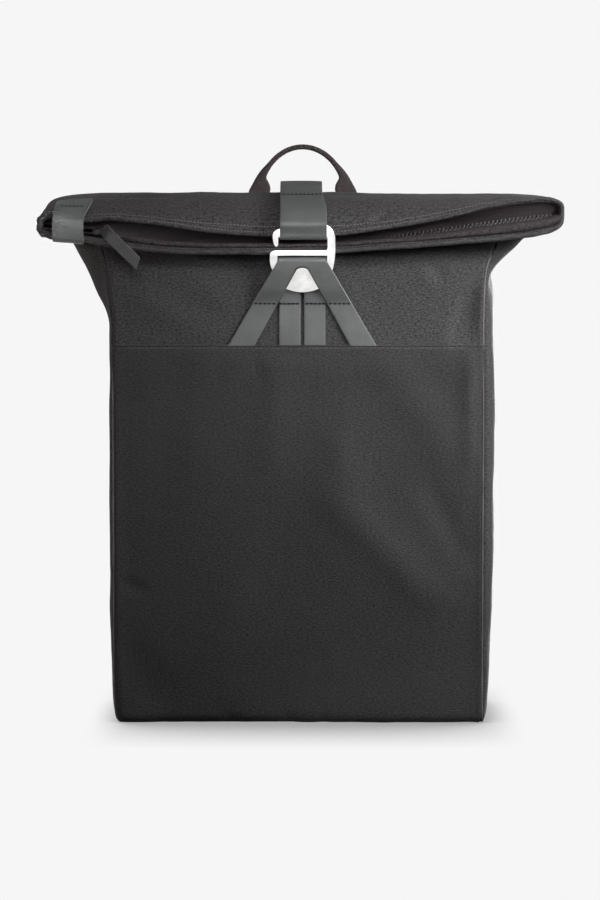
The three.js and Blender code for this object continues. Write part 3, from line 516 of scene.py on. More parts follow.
def outline(start, *parts, bends=8):
    """A closed outline from a start. A part of two numbers is a straight line to that point; one of four is a
    bend towards the first point that ends at the second."""
    points = [np.array(start, float)]
    for part in parts:
        end = np.array(part[-2:], float)
        if len(part) == 2:
            points.append(end)
        else:
            t = np.linspace(0, 1, bends + 1)[1:, None]
            points.extend((1 - t) ** 2 * points[-1] + 2 * t * (1 - t) * np.array(part[:2]) + t * t * end)
    points = np.array(points)
    return points[:-1] if np.allclose(points[0], points[-1]) else points


def box(half, low, high):
    """The outline of a rectangle round X = 0."""
    return outline((-half, low), (-half, high), (half, high), (half, low))


# Materials

def linear(hex_colour):
    """An sRGB hex colour as linear red, green, blue and alpha."""
    channels = [int(hex_colour[i:i + 2], 16) / 255 for i in (1, 3, 5)]
    return [c / 12.92 if c <= 0.04045 else ((c + 0.055) / 1.055) ** 2.4 for c in channels] + [1.0]


def add_node(tree, kind, inputs=None, **settings):
    """Adds a shader node. Settings go on the node, and inputs on its sockets as a value or a link."""
    made = tree.nodes.new("ShaderNode" + kind)
    for name, value in settings.items():
        setattr(made, name, value)
    for socket, value in (inputs or {}).items():
        if isinstance(value, bpy.types.NodeSocket):
            tree.links.new(value, made.inputs[socket])
        else:
            made.inputs[socket].default_value = value
    return made


def new_material(name, gloss=0.5, **sockets):
    """A material with one Principled shader. Gloss is its specular level; other even values go on its sockets."""
    material = bpy.data.materials.new(name)
    material.use_nodes = True
    shader = material.node_tree.nodes["Principled BSDF"]
    shader.inputs["Specular IOR Level"].default_value = gloss
    for socket, value in sockets.items():
        shader.inputs[socket.replace("_", " ")].default_value = value
    return material, material.node_tree, shader


def colour_and_relief(tree, shader, shade, dark, light, height, relief, deep):
    """Colours a surface between dark and light by a shade, and gives it relief from a height. Relief is how strong
    that is, and deep the millimetres that a height of one stands for."""
    colour = add_node(tree, "Mix", {"Factor": shade, 6: linear(dark), 7: linear(light)}, data_type="RGBA")
    tree.links.new(colour.outputs[2], shader.inputs["Base Color"])
    bump = add_node(tree, "Bump", {"Height": height, "Strength": relief, "Distance": deep * MM})
    tree.links.new(bump.outputs[0], shader.inputs["Normal"])


def woven(name, dark, light, rib=1.1, warp=1.1, slub=2.5, fleck=0.74, relief=0.6, rough=0.85, gloss=0.1, **sockets):
    """Ribbed cloth. Rib and warp are the spacings of the yarns that run across and up, and slub the length of
    an uneven stretch of yarn, in millimetres. The real yarns are about half as wide: they are drawn coarser so
    that they show. A fine fleck lies over both."""
    material, tree, shader = new_material(name, gloss, Roughness=rough, **sockets)
    flat = add_node(tree, "TexCoord").outputs["UV"]
    layers = []
    for wide, tall, weight in ((slub, rib, 1.1), (warp, slub, 0.5), (fleck, fleck, 1.0)):
        scale = [1 / (wide * MM), 1 / (tall * MM), 1 / MM]
        stretched = add_node(tree, "Mapping", {"Vector": flat, "Scale": scale}).outputs[0]
        noise = add_node(tree, "TexNoise", {"Vector": stretched, "Scale": 1.0, "Detail": 1.0}).outputs["Fac"]
        layers.append(add_node(tree, "Math", {0: noise, 1: weight}, operation="MULTIPLY").outputs[0])
    yarns = add_node(tree, "Math", {0: layers[0], 1: layers[1]}, operation="ADD").outputs[0]
    both = add_node(tree, "Math", {0: yarns, 1: layers[2]}, operation="ADD").outputs[0]
    shade = add_node(tree, "MapRange", {"Value": both, "From Min": 0.85, "From Max": 1.65}).outputs[0]
    colour_and_relief(tree, shader, shade, dark, light, both, relief, 0.6)
    return material


def grained(name, dark, light, grain, relief, rough, gloss=0.5, **sockets):
    """A skin with a fine grain: cells of one size in millimetres, with soft patches of lighter colour, and
    roughness that follows the grain."""
    material, tree, shader = new_material(name, gloss, **sockets)
    place = add_node(tree, "TexCoord").outputs["Object"]
    cells = add_node(tree, "TexVoronoi", {"Vector": place, "Scale": 1 / (grain * MM)}).outputs["Distance"]
    fine = add_node(tree, "TexNoise", {"Vector": place, "Scale": 0.6 / (grain * MM), "Detail": 4.0}).outputs["Fac"]
    cloud = add_node(tree, "TexNoise", {"Vector": place, "Scale": 45.0, "Detail": 2.0}).outputs["Fac"]
    spread = add_node(tree, "Math", {0: fine, 1: 0.5, 2: cloud}, operation="MULTIPLY_ADD").outputs[0]
    shade = add_node(tree, "MapRange", {"Value": spread, "From Min": 0.5, "From Max": 1.0}).outputs[0]
    sheen = add_node(tree, "MapRange", {"Value": fine, "From Min": 0.3, "From Max": 0.7, "To Min": rough - 0.06,
                                        "To Max": rough + 0.06}).outputs[0]
    tree.links.new(sheen, shader.inputs["Roughness"])
    height = add_node(tree, "Math", {0: cells, 1: 0.6, 2: fine}, operation="MULTIPLY_ADD").outputs[0]
    colour_and_relief(tree, shader, shade, dark, light, height, relief, 0.4)
    return material


COATED = {"Sheen_Weight": 0.02, "Sheen_Roughness": 0.45}
WIDE_YARN = {"rib": 2.4, "warp": 1.3, "slub": 3.0, "fleck": 1.3}
# Coated polyester canvas: near-black yarns of uneven thickness, matt, with a faint sheen at a low angle.
CANVAS = woven("polyester_canvas", "#111111", "#403f3f", relief=0.5, **COATED)
# The same canvas on the roll, which is seen at a low angle: its yarns are drawn wider still.
ROLL_CANVAS = woven("roll_canvas", "#0e0e0e", "#413f40", **WIDE_YARN, **COATED)
# The lower front's canvas, of the same yarn but pressed flatter: an even, close surface.
PRESSED = woven("pressed_canvas", "#1a1a1a", "#373636", relief=0.45, **COATED)
# The canvas folded sharply along a seam, painted lighter than the canvas: a painted highlight for the bright line
# along the front seams.
WELT_HIGHLIGHT = grained("folded_canvas_edge_painted_highlight", "#4a4849", "#5a5858", grain=0.8, relief=0.3, rough=0.6, gloss=0.3)
# The same cloth's lining side inside the mouth: a little warm.
LINING = woven("polyester_lining", "#201c1e", "#353032")
# The canvas turned in along the lower lip, up to the zip: as coarse as on the roll, and a little warm.
FACING = woven("facing_canvas", "#110f10", "#393436", **WIDE_YARN)
# Vegetable-tanned leather, dyed through to charcoal: smooth grain, satin, a trace of green.
LEATHER = grained("charcoal_leather", "#393b3b", "#464848", grain=0.9, relief=0.12, rough=0.42, gloss=0.25)
# A lit copy of the same leather for the tab that holds the hook: its colour, set a trace lighter than the strap's, is
# painted light standing in for the front light that the tab catches.
LEATHER_LIT_COPY = grained("slate_leather_lit_copy", "#393c3b", "#464948", grain=0.9, relief=0.12, rough=0.45, gloss=0.3)
# A darker copy of the same leather for the zip pull: painted shade for the roll's shadow that falls on the pull.
LEATHER_SHADED = grained("pull_leather_painted_shade", "#2a2929", "#353434", grain=0.9, relief=0.12, rough=0.5, gloss=0.2)
# The same leather's cut and waxed edge, rougher than the face and lighter: partly the edge's own colour and partly a
# painted highlight for the bright line that the edges show.
LEATHER_EDGE_AND_HIGHLIGHT = grained("leather_cut_edge_and_painted_highlight", "#5d6160", "#7a7d7c", grain=0.5, relief=0.3, rough=0.6, gloss=0.4)
# Painted shadow round the notch: a thin near-black, satin line for the shade along the leather's cut edge above the
# plate.
NOTCH_SHADOW = grained("notch_painted_shadow", "#050505", "#0c0c0c", grain=0.6, relief=0.1, rough=0.5, gloss=0.3)
# Die-cut steel, nickel plated and satin: bright, with soft reflections.
NICKEL = grained("satin_nickel", "#d8d8d5", "#fbfbf9", grain=4.0, relief=0.004, rough=0.22, Metallic=1.0)
# Polyester thread of the canvas seams: grey, with a slight gloss.
THREAD = grained("grey_polyester_thread", "#322f30", "#403d3e", grain=0.3, relief=0.3, rough=0.5, gloss=0.3)
# Thread of the mouth's upper lip, lighter than the other canvas thread: a painted highlight for the two bright dotted
# lines where its round stitches catch the light.
LIP_THREAD_HIGHLIGHT = grained("lip_thread_painted_highlight", "#4c4849", "#605c5d", grain=0.3, relief=0.3, rough=0.5, gloss=0.3)
# Waxed thread of the leather seams: black.
BLACK_THREAD = grained("black_waxed_thread", "#0a0a0a", "#131313", grain=0.3, relief=0.3, rough=0.6, gloss=0.15)
# Nylon coil of the zip: black monofilament with small highlights.
NYLON = grained("nylon_coil", "#333132", "#434142", grain=0.6, relief=0.05, rough=0.35)
# Woven zip tape: a plain, matt twill.
TAPE = woven("zip_tape_twill", "#262124", "#353032")
# Ribbed polyester webbing: heavier yarns than the canvas, with a brown cast.
WEB = woven("polyester_webbing", "#241f20", "#3f3738", rib=1.8, warp=1.6, slub=3.0, relief=0.8, rough=0.8, gloss=0.15,
            Sheen_Weight=0.05)
# Moulded acetal: black, fine satin grain.
ACETAL = grained("moulded_acetal", "#161616", "#1f1f1f", grain=0.5, relief=0.06, rough=0.45, gloss=0.3)


# Body panels

def seam_share(row, right):
    """The share of a side's half turn that belongs to the front or back panel: up to the angle at which the side's
    superellipse is as far out from the flat as the seam."""
    side = "right" if right else "left"
    reach = SECTION["ridge_" + side](row) - SECTION["flat_" + side](row)
    out = np.minimum(SEAM_OUT[side] / reach, 0.8)
    return 0.5 - np.arccos(out ** (SECTION["power_" + side](row) / 2)) / np.pi


def spread_turns(start, end, rows, distances):
    """Turns at given distances along each row's arc from start to end, and how far each is from the nearer end. A
    fine walk along the arc is measured, and its length is read back. Distances takes the arcs' lengths and gives
    the places."""
    walk = mix(start[:, None], end[:, None], np.linspace(0, 1, 700))
    length = walked(plain_skin(walk, rows[:, None] + 0 * walk), 1)
    places = distances(length[:, -1])
    turns = np.stack([np.interp(p, l, w) for p, l, w in zip(places, length, walk)])
    return turns, np.minimum(places, length[:, -1:] - places)


EDGE_STEPS = np.array([0, 0.5, 1.0, 1.6, 2.3, 3.1, 4.2, 5.6, 7.5])  # from a seam


def seam_to_seam(count):
    """Places along an arc: close together near both seams and even between them."""
    def places(total):
        """The steps from the first seam, equal steps, and the same steps back from the last seam."""
        middle = np.linspace(0, 1, count)[1:-1] * (total[:, None] - 2 * EDGE_STEPS[-1]) + EDGE_STEPS[-1]
        first = np.broadcast_to(EDGE_STEPS, (len(total), len(EDGE_STEPS)))
        return np.concatenate([first, middle, total[:, None] - first[:, ::-1]], 1)
    return places


def seam_relief(away):
    """Height beside a sewn seam: the cloth dips into the seam and stands up a little beside it."""
    return -0.8 * bell(away, 0.9) + 0.4 * bell(away - 2.6, 1.5)


def panel_grid(first, last, rows, count, lift=0.0, side=False):
    """A panel of the body on a grid: turns from seam to seam, and rows up the skin."""
    sign = 1 if side else -1
    start = first + sign * seam_share(rows, first in (1, 2))
    end = last - sign * seam_share(rows, last in (1, 2))
    turns, away = spread_turns(start, end, rows, seam_to_seam(count))
    row = rows[:, None] + 0 * turns
    points = plain_skin(turns, row)
    move = np.asarray(lift)[..., None] + crumple(points) * smooth(away, 0, 12) + seam_relief(away)
    return points + outward(turns, row) * move[..., None]


def cloth_panel(name, points, finish, node):
    """A panel of the body from its grid of points: a wall of cloth with its finish."""
    piece = thicken(grid_object(name, points), CLOTH, offset=-1.0)
    dress(piece, "canvas", finish, stands_for=[node])


FOOT_HEIGHTS = [0.4, 1.0, 1.8, 2.8, 4.0, 5.4, 7.0, 9.0, 11.5]
TOPSTITCH = 2.3  # below the top edge
LAP_HEIGHTS = SEAM_Z - np.array([LAP, 7.5, 5.5, 4.3, 3.5, 2.9, TOPSTITCH, 1.7, 1.1, 0.6, 0.2, 0])


def lower_front():
    """The lower front panel. Its top edge lies over the upper panel, with a topstitched groove below it."""
    heights = np.r_[FOOT_HEIGHTS, np.arange(14.5, SEAM_Z - LAP - 1.5, 3.2), LAP_HEIGHTS]
    rows = row_at("front_z", heights)
    lap = (CLOTH + GAP) * (1 - smooth(SEAM_Z - LAP - heights, 0, LAP_FADE))
    groove = -0.9 * bell(heights - SEAM_Z + TOPSTITCH, 0.6)
    rounded = -0.7 * bell(heights - SEAM_Z, 0.5)
    points = panel_grid(0, 1, rows, 110, lap + groove + rounded)
    cloth_panel("lower_front_cloth", points, PRESSED, "front_panel_lower")
    stitched = points[np.argmin(np.abs(heights - SEAM_Z + TOPSTITCH)), 10:-10]
    stitch_row("lower_front_stitches", stitched + FRONT * 0.1, FRONT, "canvas", THREAD, thread=0.7)


def body_rows(column, low, step):
    """Rows from a height up to the crease, at about equal steps along the front or back."""
    fine = np.linspace(row_at(column, low), BODY_TOP + 0.1, 4000)
    length = walked(plain_skin(np.full_like(fine, 0.5 if column == "front_z" else 2.5), fine))
    return np.interp(np.arange(0, length[-1], step), length, fine)


def upper_front():
    """The upper front panel, from behind the lower panel's edge up into the crease under the roll."""
    points = panel_grid(0, 1, body_rows("front_z", SEAM_Z - LAP, 2.6), 120)
    cloth_panel("upper_front_cloth", points, CANVAS, "front_panel_upper")


# The welts of the front seams: half their width, and the height that they run up to.
WELTS = {"left": (0.8, SEAM_Z), "right": (0.5, 372.0)}
WELT_FOOT = 3.0


def front_seam_welts():
    """The turned edges of the two front seams, which stand up as a fine welt: a round bar along each seam. The
    left one ends at the lapped seam, and the right one runs on up to the shoulder."""
    for word, (wide, top_z) in WELTS.items():
        right = word == "right"
        rows = row_at("front_z", np.arange(WELT_FOOT, top_z, 2.5))
        share = seam_share(rows, right)
        turns = 1 + share if right else 4 - share
        out = outward(turns, rows)
        centres = plain_skin(turns, rows) + out * 0.1
        half = wide * (1 + 0.25 * np.sin(centres[:, 2] / 4.1) * np.sin(centres[:, 2] / 17))
        # the welt's lighter colour is a painted highlight along the seam
        dress(swept(f"front_seam_welt_{word}", centres, out, half, half, 10, 2.0), "canvas", WELT_HIGHLIGHT)


def back_and_sides():
    """The back panel and the two sides, each from the base up into the crease."""
    rows = np.r_[row_at("back_z", np.array(FOOT_HEIGHTS)), body_rows("back_z", 13.0, 3.4)]
    for name, first, last, count, side, node in (
        ("back_cloth", 2, 3, 96, False, "back_panel"),
        ("right_side_cloth", 1, 2, 46, True, "side_panel_right"),
        ("left_side_cloth", 3, 4, 46, True, "side_panel_left"),
    ):
        cloth_panel(name, panel_grid(first, last, rows, count, side=side), CANVAS, node)


BASE = Sizes(half_x=143.5, half_y=53, power=0.28, inside_z=3.0)


def base_cloth():
    """The base: rings that shrink from the foot of the walls to the middle, with a rounded edge. Each ring is a
    superellipse."""
    angle = np.linspace(0, 2 * np.pi, 181)[:-1]
    c, s = blunt(angle, BASE.power)
    # each ring's share of the half-sizes, and its height
    profile = [(1.0, 2.6), (1.0, 1.4), (0.994, 0.5), (0.985, 0.1), (0.96, 0.0), (0.75, 0.0), (0.5, 0.0),
               (0.25, 0.0), (0.0, 0.0)]
    rings = np.stack([
        np.stack([BASE.half_x * k * c, BASE.half_y * k * s, np.full_like(angle, z)], -1) for k, z in profile
    ])
    top = rings[:5][::-1].copy()
    top[..., 2] = BASE.inside_z
    top[0] = [0, 0, BASE.inside_z]
    piece = weld(grid_object("base_cloth", np.concatenate([top, rings]), close_columns=True))
    dress(piece, "canvas", CANVAS, stands_for=["base_panel"])


# Roll top

def lower_share(turn):
    """1 along the mouth's lower lip, 0 along its upper lip, and an even change between them round both ends."""
    return np.interp(np.mod(turn, 4), [0, 1.2, 1.8, 3.2, 3.8, 4], [1, 1, 0, 0, 1, 1])


LIP_STITCHES = (1.4, 5.2)  # two rows, from the upper lip's edge
# The roll's details. Pairs are bands over which something begins or ends: the left end and the stretch pressed by
# the end tab as -X, and the raised hems, thicker walls, puckers, pleats and plain relief as distances from the lip.
ROLL = Sizes(
    left_end=(188, 203), pressed_from=(160, 168), pressed_to=(196, 202), pressed=0.85,
    end_hem=0.8, hem=(6.2, 7.6), hem_up=0.8, wall=(5, 9), groove=1.0, groove_half=0.7, relief=(-6, 12),
    pucker=(4, 14), pucker_up=0.35, pucker_long=11, pleats=(20, 45), pleat_up=0.5, pleat_long=6.5, lining_from=14,
)


def roll_top():
    """The collar as one closed wall. Its profile runs from the crease along the outside to the lip, round the
    lip in a half circle as thick as the hem, and back along the inside. It is carried round the section in
    equal steps. Two stitched grooves run inside the upper lip's edge."""
    rows = np.r_[np.linspace(ROW["turn"] - 0.1, NEAR_LIP, 44), np.linspace(NEAR_LIP, ROW["lip"], 19)[1:]]
    turns, _ = spread_turns(np.zeros_like(rows), np.full_like(rows, 4.0), rows,
                            lambda total: np.linspace(0, 1, 421) * total[:, None])
    turns = turns[:, :-1]
    row = rows[:, None] + 0 * turns
    points = plain_skin(turns, row)
    out = outward(turns, row)
    to_lip = walked(points[::-1])[::-1]
    to_left = -points[..., 0]
    left_end = smooth(to_left, *ROLL.left_end)
    hem = mix(UPPER_HEM, LOWER_HEM, lower_share(turns)) + ROLL.end_hem * left_end
    raised = ROLL.hem_up * (1 - smooth(to_lip, *ROLL.hem))
    sunk = -ROLL.groove * (1 - left_end) * sum(bell(to_lip - place, ROLL.groove_half) for place in LIP_STITCHES)
    pleats = ROLL.pleat_up * left_end * np.sin(2 * np.pi * walked(points[-1]) / ROLL.pleat_long)
    pucker = ROLL.pucker_up * ripple(points, ROLL.pucker_long, 21) * (1 - smooth(to_lip, *ROLL.pucker))
    pucker = pucker + pleats * (1 - smooth(to_lip, *ROLL.pleats))
    pressed = 1 - ROLL.pressed * smooth(to_left, *ROLL.pressed_from) * (1 - smooth(to_left, *ROLL.pressed_to))
    relief = crumple(points) * smooth(to_lip, *ROLL.relief) * pressed + ridges(points, ROLL_SEAMS)
    outer = points + out * (relief + raised + sunk + pucker)[..., None]
    wall = mix(CLOTH, hem, 1 - smooth(to_lip, *ROLL.wall))
    forward = unit(points[-1] - points[-4])
    angle = np.linspace(0, np.pi, 11)[1:-1, None, None]
    half = hem[-1][:, None] / 2
    lip = outer[-1] + out[-1] * half * (np.cos(angle) - 1) + forward * half * np.sin(angle)
    inner = (points + out * (relief - wall)[..., None])[::-1]
    profile = np.concatenate([outer, lip, inner])
    piece = grid_object("roll_top_cloth", profile, close_rows=True, close_columns=True)
    lining = np.zeros(profile.shape[:2], int)
    lining[len(outer) + len(lip) + ROLL.lining_from:] = 1
    dress(piece, "canvas", ROLL_CANVAS, LINING, stands_for=["roll_top"])
    piece.data.polygons.foreach_set("material_index", lining.ravel())
    upper = (turns[-1] > 1.7) & (turns[-1] < 3.3)
    for number, place in enumerate(LIP_STITCHES, 1):
        at = np.argmin(np.abs(to_lip[:, upper].mean(1) - place))
        away = out[at, upper]
        stitch_row(f"upper_lip_stitches_{number}", outer[at, upper] + away * 0.2, away, "canvas", LIP_THREAD_HIGHLIGHT,
                   pitch=2.6, long=1.7, thread=0.65)
    lower = (turns[-1] > 0) & (turns[-1] < 1.4)
    stitch_row("lower_lip_stitches", lip[-1, lower] + forward[lower] * 0.4, forward[lower], "canvas", BLACK_THREAD,
               pitch=3.4, long=2.2, thread=0.9)


# Zip

# The zip: ends of the teeth and of the tape, the slider's place, the tape's thickness, and the spacing of the coil's
# turns, which are drawn further apart than they are so that they show.
ZIP = Sizes(left=-150, right=197, start=-204, end=203.6, slider=-158.6, tape=1.2, pitch=3.2)
zip_y = through([-205, -185, -150, -120, 0, 90, 150, 200], [-69, -65, -63, -57, -50, -54, -61, -68])
zip_sag = through([-205, -160, -138, 20, 110, 204], [0, 0, 1, 1, 0, 0])


def mouth_edges(x):
    """Heights of the insides of the lower and upper lip at X. Towards both ends they close on each other as
    the lip's superellipse does."""
    at = section_at(ROW["lip"])
    narrow = np.where(x > 0, narrowing(x, at.flat_right, at.ridge_right, at.power_right),
                      narrowing(x, at.flat_left, at.ridge_left, at.power_left))
    middle = (lip_top(x) + lip_bottom(x)) / 2
    half = (lip_top(x) - lip_bottom(x)) / 2 * narrow
    return middle - half + LOWER_HEM, middle + half - UPPER_HEM


def zip_line(x):
    """The middle of the zip along X: as deep in the mouth as zip_y says, and a little below its middle height.
    Between the slider and the right half it sags behind the lower lip."""
    bottom, top = mouth_edges(x)
    return np.stack([x, zip_y(x), mix(bottom, top, 0.42 - 0.3 * zip_sag(x))], -1), bottom, top


def zip_parts():
    """The facing from the groove of the lower lip up to the teeth, and the tape from the teeth up to the upper
    layer. At every X each is a cubic bend between the first and last of four guide points, drawn towards the other
    two. The teeth are two rows of the coil's turns."""
    x = np.linspace(ZIP.start, ZIP.end, 200)
    line, bottom, top = zip_line(x)
    y, z = line[:, 1], line[:, 2]
    back = mix(y + 4, -72.5, smooth(x, 80, 150))
    deep = 22 * (1 - smooth(x, -160, -125))
    gap = 1.6 * (1 - smooth(x, 188, 197))
    facing = [(-70 + deep, bottom + 0.3), (-79.5 + deep, bottom),
              (-78 + deep, mix(bottom, z, 0.8) + 2 + 5 * zip_sag(x)), (y, z - gap)]
    tape = [(y, z + gap), (y - 0.5, z + 2.4 + gap), ((y + back) / 2, top - 2), (back, top + 0.6)]
    share = np.linspace(0, 1, 15)[:, None, None]
    for name, guides, node, finish in (
        ("zip_facing_lower", facing, "zip_tape_lower", FACING),
        ("zip_tape_inner", tape, "zip_tape_upper", TAPE),
    ):
        a, b, c, d = (np.stack(np.broadcast_arrays(x, *guide), -1) for guide in guides)
        points = ((1 - share) ** 3 * a + 3 * share * (1 - share) ** 2 * b + 3 * share ** 2 * (1 - share) * c
                  + share ** 3 * d)
        dress(thicken(grid_object(name, points), ZIP.tape), "zip_tape", finish, stands_for=[node])
    count = 2 * int((ZIP.right - ZIP.left) / ZIP.pitch)
    centres = zip_line(ZIP.left + (np.arange(count) + 0.5) * ZIP.pitch / 2)[0]
    centres[:, 2] += np.where(np.arange(count) % 2, 0.95, -0.95)
    centres[:, 1] -= 0.9
    lean = np.broadcast_to([0.25, 0, 1.0], centres.shape)
    shape, faces = bead(3.4, 1.2, 1.9)
    teeth = small_copies("zip_coil", shape, faces, centres, lean, FRONT)
    dress(teeth, "zip_teeth", NYLON, stands_for=["zip_teeth"])


PULL = Sizes(wide=8.8, tip_x=-127.4, tip_z=364.6, lip_y=-79.5, tip_y=-78)


def slider_and_pull():
    """The slider, a rounded wedge over the coil's end, and the leather pull that hangs from it: a ribbon along
    a line that comes forward over the lip, with its lower end cut at a slant."""
    line = zip_line(np.array([ZIP.slider]))[0][0]
    share = np.linspace(-1, 1, 13)
    centres = line + np.stack([share * 5.6, np.full_like(share, 2.0), 0 * share], -1)
    wide = 2.5 * (1 - 0.35 * share ** 2) + 0.5 * (share < 0)
    deep = 2.3 * (1 - 0.3 * share ** 4)
    slider = swept("zip_slider_body", centres, FRONT, wide, deep, 16, 3.2, UP)
    dress(slider, "zip_teeth", ACETAL, stands_for=["zip_slider"])
    start = line + np.array([3.4, -5.0, 3.0])
    tip = np.array([PULL.tip_x, PULL.tip_y, PULL.tip_z])
    along = np.linspace(0, 1, 40)
    path = mix(start, tip, along[:, None])
    path[:, 1] = mix(start[1], PULL.lip_y, smooth(along, 0, 0.22))
    path[:, 1] = mix(path[:, 1], PULL.tip_y, smooth(along, 0.4, 1)) - 0.8 * np.sin(np.pi * along)
    slant = unit(np.array([tip[0] - start[0], 0, tip[2] - start[2]]))
    across = np.array([-slant[2], 0, slant[0]])
    reach = np.linspace(-1, 1, 9) * PULL.wide / 2
    cut = -0.55 * smooth(along, 0.8, 1)[:, None] * reach
    points = path[:, None] + reach[:, None] * across + cut[..., None] * slant
    piece = thicken(grid_object("zip_pull_leather", points), STRAP_LEATHER, bevel=0.4, rim=1)
    # the pull's darker leather is painted shade
    dress(piece, "leather", LEATHER_SHADED, LEATHER_EDGE_AND_HIGHLIGHT, stands_for=["zip_pull"])


# Leather

END_TAB = Sizes(left=-194.2, right=-170, lean_left=2, lean_right=6, top_row=15.3, under_row=16.0, front_y=-79.4,
                clear=1.5, sewn_z=408.6)


def left_roll(x, row, above):
    """Y and Z of the roll's upper or lower layer at X on the left, as far apart as the section is there."""
    at = section_at(row)
    across = narrowing(x, at.flat_left, at.ridge_left, at.power_left) * (1 if above else -1)
    return np.stack(across_section(at, x, across), -1)


def end_tab():
    """The band over the left end of the roll. Its profile follows the upper layer forward, turns down over both
    lips in one rounded front and goes back a little under the roll; it is carried along X and leans."""
    t = END_TAB
    above = np.linspace(t.top_row, ROW["lip"], 12)
    below = np.linspace(ROW["lip"], t.under_row, 5)
    columns = []
    for x in np.linspace(t.left, t.right, 14):
        top = left_roll(np.full(len(above), x), above, True) + [-0.5, t.clear + 0.6]
        low = left_roll(np.full(len(below), x), below, False) + [-0.8, -t.clear]
        front = [[t.front_y + inset, mix(top[-1, 1], low[0, 1], down)]
                 for inset, down in ((1.6, 0.18), (0, 0.5), (0.8, 0.85))]
        line = path_line(np.concatenate([top, front, low]), 1.0)
        line = line[np.linspace(0, len(line) - 1, 60).astype(int)]
        lean = mix(t.lean_left, t.lean_right, (x - t.left) / (t.right - t.left))
        shift = lean * smooth(line[:, 1], 398, 416)
        columns.append(np.column_stack([x + shift, line]))
    points = np.stack(columns, 1)
    piece = thicken(grid_object("end_tab_leather", points[:, ::-1]), STRAP_LEATHER, bevel=0.4, rim=1)
    dress(piece, "leather", LEATHER, LEATHER_EDGE_AND_HIGHLIGHT, stands_for=["end_tab"])
    at = np.argmin(np.abs(points[:30, 7, 2] - t.sewn_z))
    way = unit(points[at + 1, 7] - points[at - 1, 7])
    out = np.array([0, way[2], -way[1]])
    sewn = (points[at] + out * (STRAP_LEATHER / 2 + 0.2))[2:-2]
    stitch_row("end_tab_stitches", sewn, out, "leather", BLACK_THREAD, pitch=2.8, long=2.6, thread=1.1)


PLATE = Sizes(
    half=25.3, foot_half=15, foot_rise=4, shoulder=19, tab_edge=26, bar_low=30, bar_top=34.4,
    throat_left=-18.6, throat_right=19.6, bow_low=45, bow_top_left=51.6, bow_top_right=55.6,
    claw_tip=37.4, slot_half=19.3,
)


def on_hook(height, out=0.0):
    """Y and Z of a place on the tilted plate: so far up it, and so far out of its middle plane."""
    tilt = HOOK.tilt
    y = HOOK.y - np.asarray(height) * np.sin(tilt) - np.asarray(out) * np.cos(tilt)
    z = HOOK.z + np.asarray(height) * np.cos(tilt) - np.asarray(out) * np.sin(tilt)
    return np.stack(np.broadcast_arrays(y, z), -1)


def hook():
    """The hook: a flat plate with a rounded foot, a slot for the leather, and a bow that opens to the left."""
    p = PLATE
    edge = outline(
        (-p.foot_half, p.foot_rise),
        (0, -p.foot_rise, p.foot_half, p.foot_rise),
        (p.half - 1.5, p.shoulder),
        (p.half, p.shoulder + 4, p.half + 0.6, p.bar_top),
        (p.half + 0.4, p.bow_low),
        (p.half - 1, p.bow_top_right - 2, p.throat_right - 2, p.bow_top_right),
        (p.throat_left, p.bow_top_left),
        (p.throat_left - 5, p.bow_top_left - 1, p.throat_left - 4.6, p.bow_low - 1),
        (p.throat_left - 3.6, p.claw_tip, p.throat_left - 1.8, p.claw_tip),
        (p.throat_left, p.claw_tip, p.throat_left, p.claw_tip + 3),
        (p.throat_left, p.bow_low),
        (p.throat_right - 1.5, p.bow_low),
        (p.throat_right, p.bow_low, p.throat_right, p.bow_low - 1.5),
        (p.throat_right, p.bar_top + 2),
        (p.throat_right, p.bar_top, p.throat_right - 2, p.bar_top),
        (-p.half + 5, p.bar_top),
        (-p.half, p.bar_top, -p.half, p.bar_low),
        (-p.half - 0.6, p.shoulder + 4, -p.half + 1.5, p.shoulder),
    )
    slot = box(p.slot_half, p.tab_edge, p.bar_low)
    points, faces = flat_plate("hook", [edge, slot], HOOK.thick, 0.5)
    placed = on_hook(points[:, 2], -points[:, 1])
    piece = new_object("hook_plate", np.column_stack([points[:, 0] + HOOK.x, placed]), faces)
    dress(weld(piece), "hook_metal", NICKEL, stands_for=["hook"])


def front_y(z):
    """Y of the front's middle at a height, with its swell."""
    row = row_at("front_z", z)
    return SECTION["front_y"](row) - SECTION["bulge"](row)


TAB = Sizes(
    foot_z=SEAM_Z - 0.9, foot_half=58.3, top_half=19.2, notch_foot=37.7, notch_neck=5.4,
    neck_z=358.8, notch_top=362.0, rear_half=18, slit_half=1.5, rim_foot=344.5, rim_half=0.45,
    rim_top_half=0.85,
)


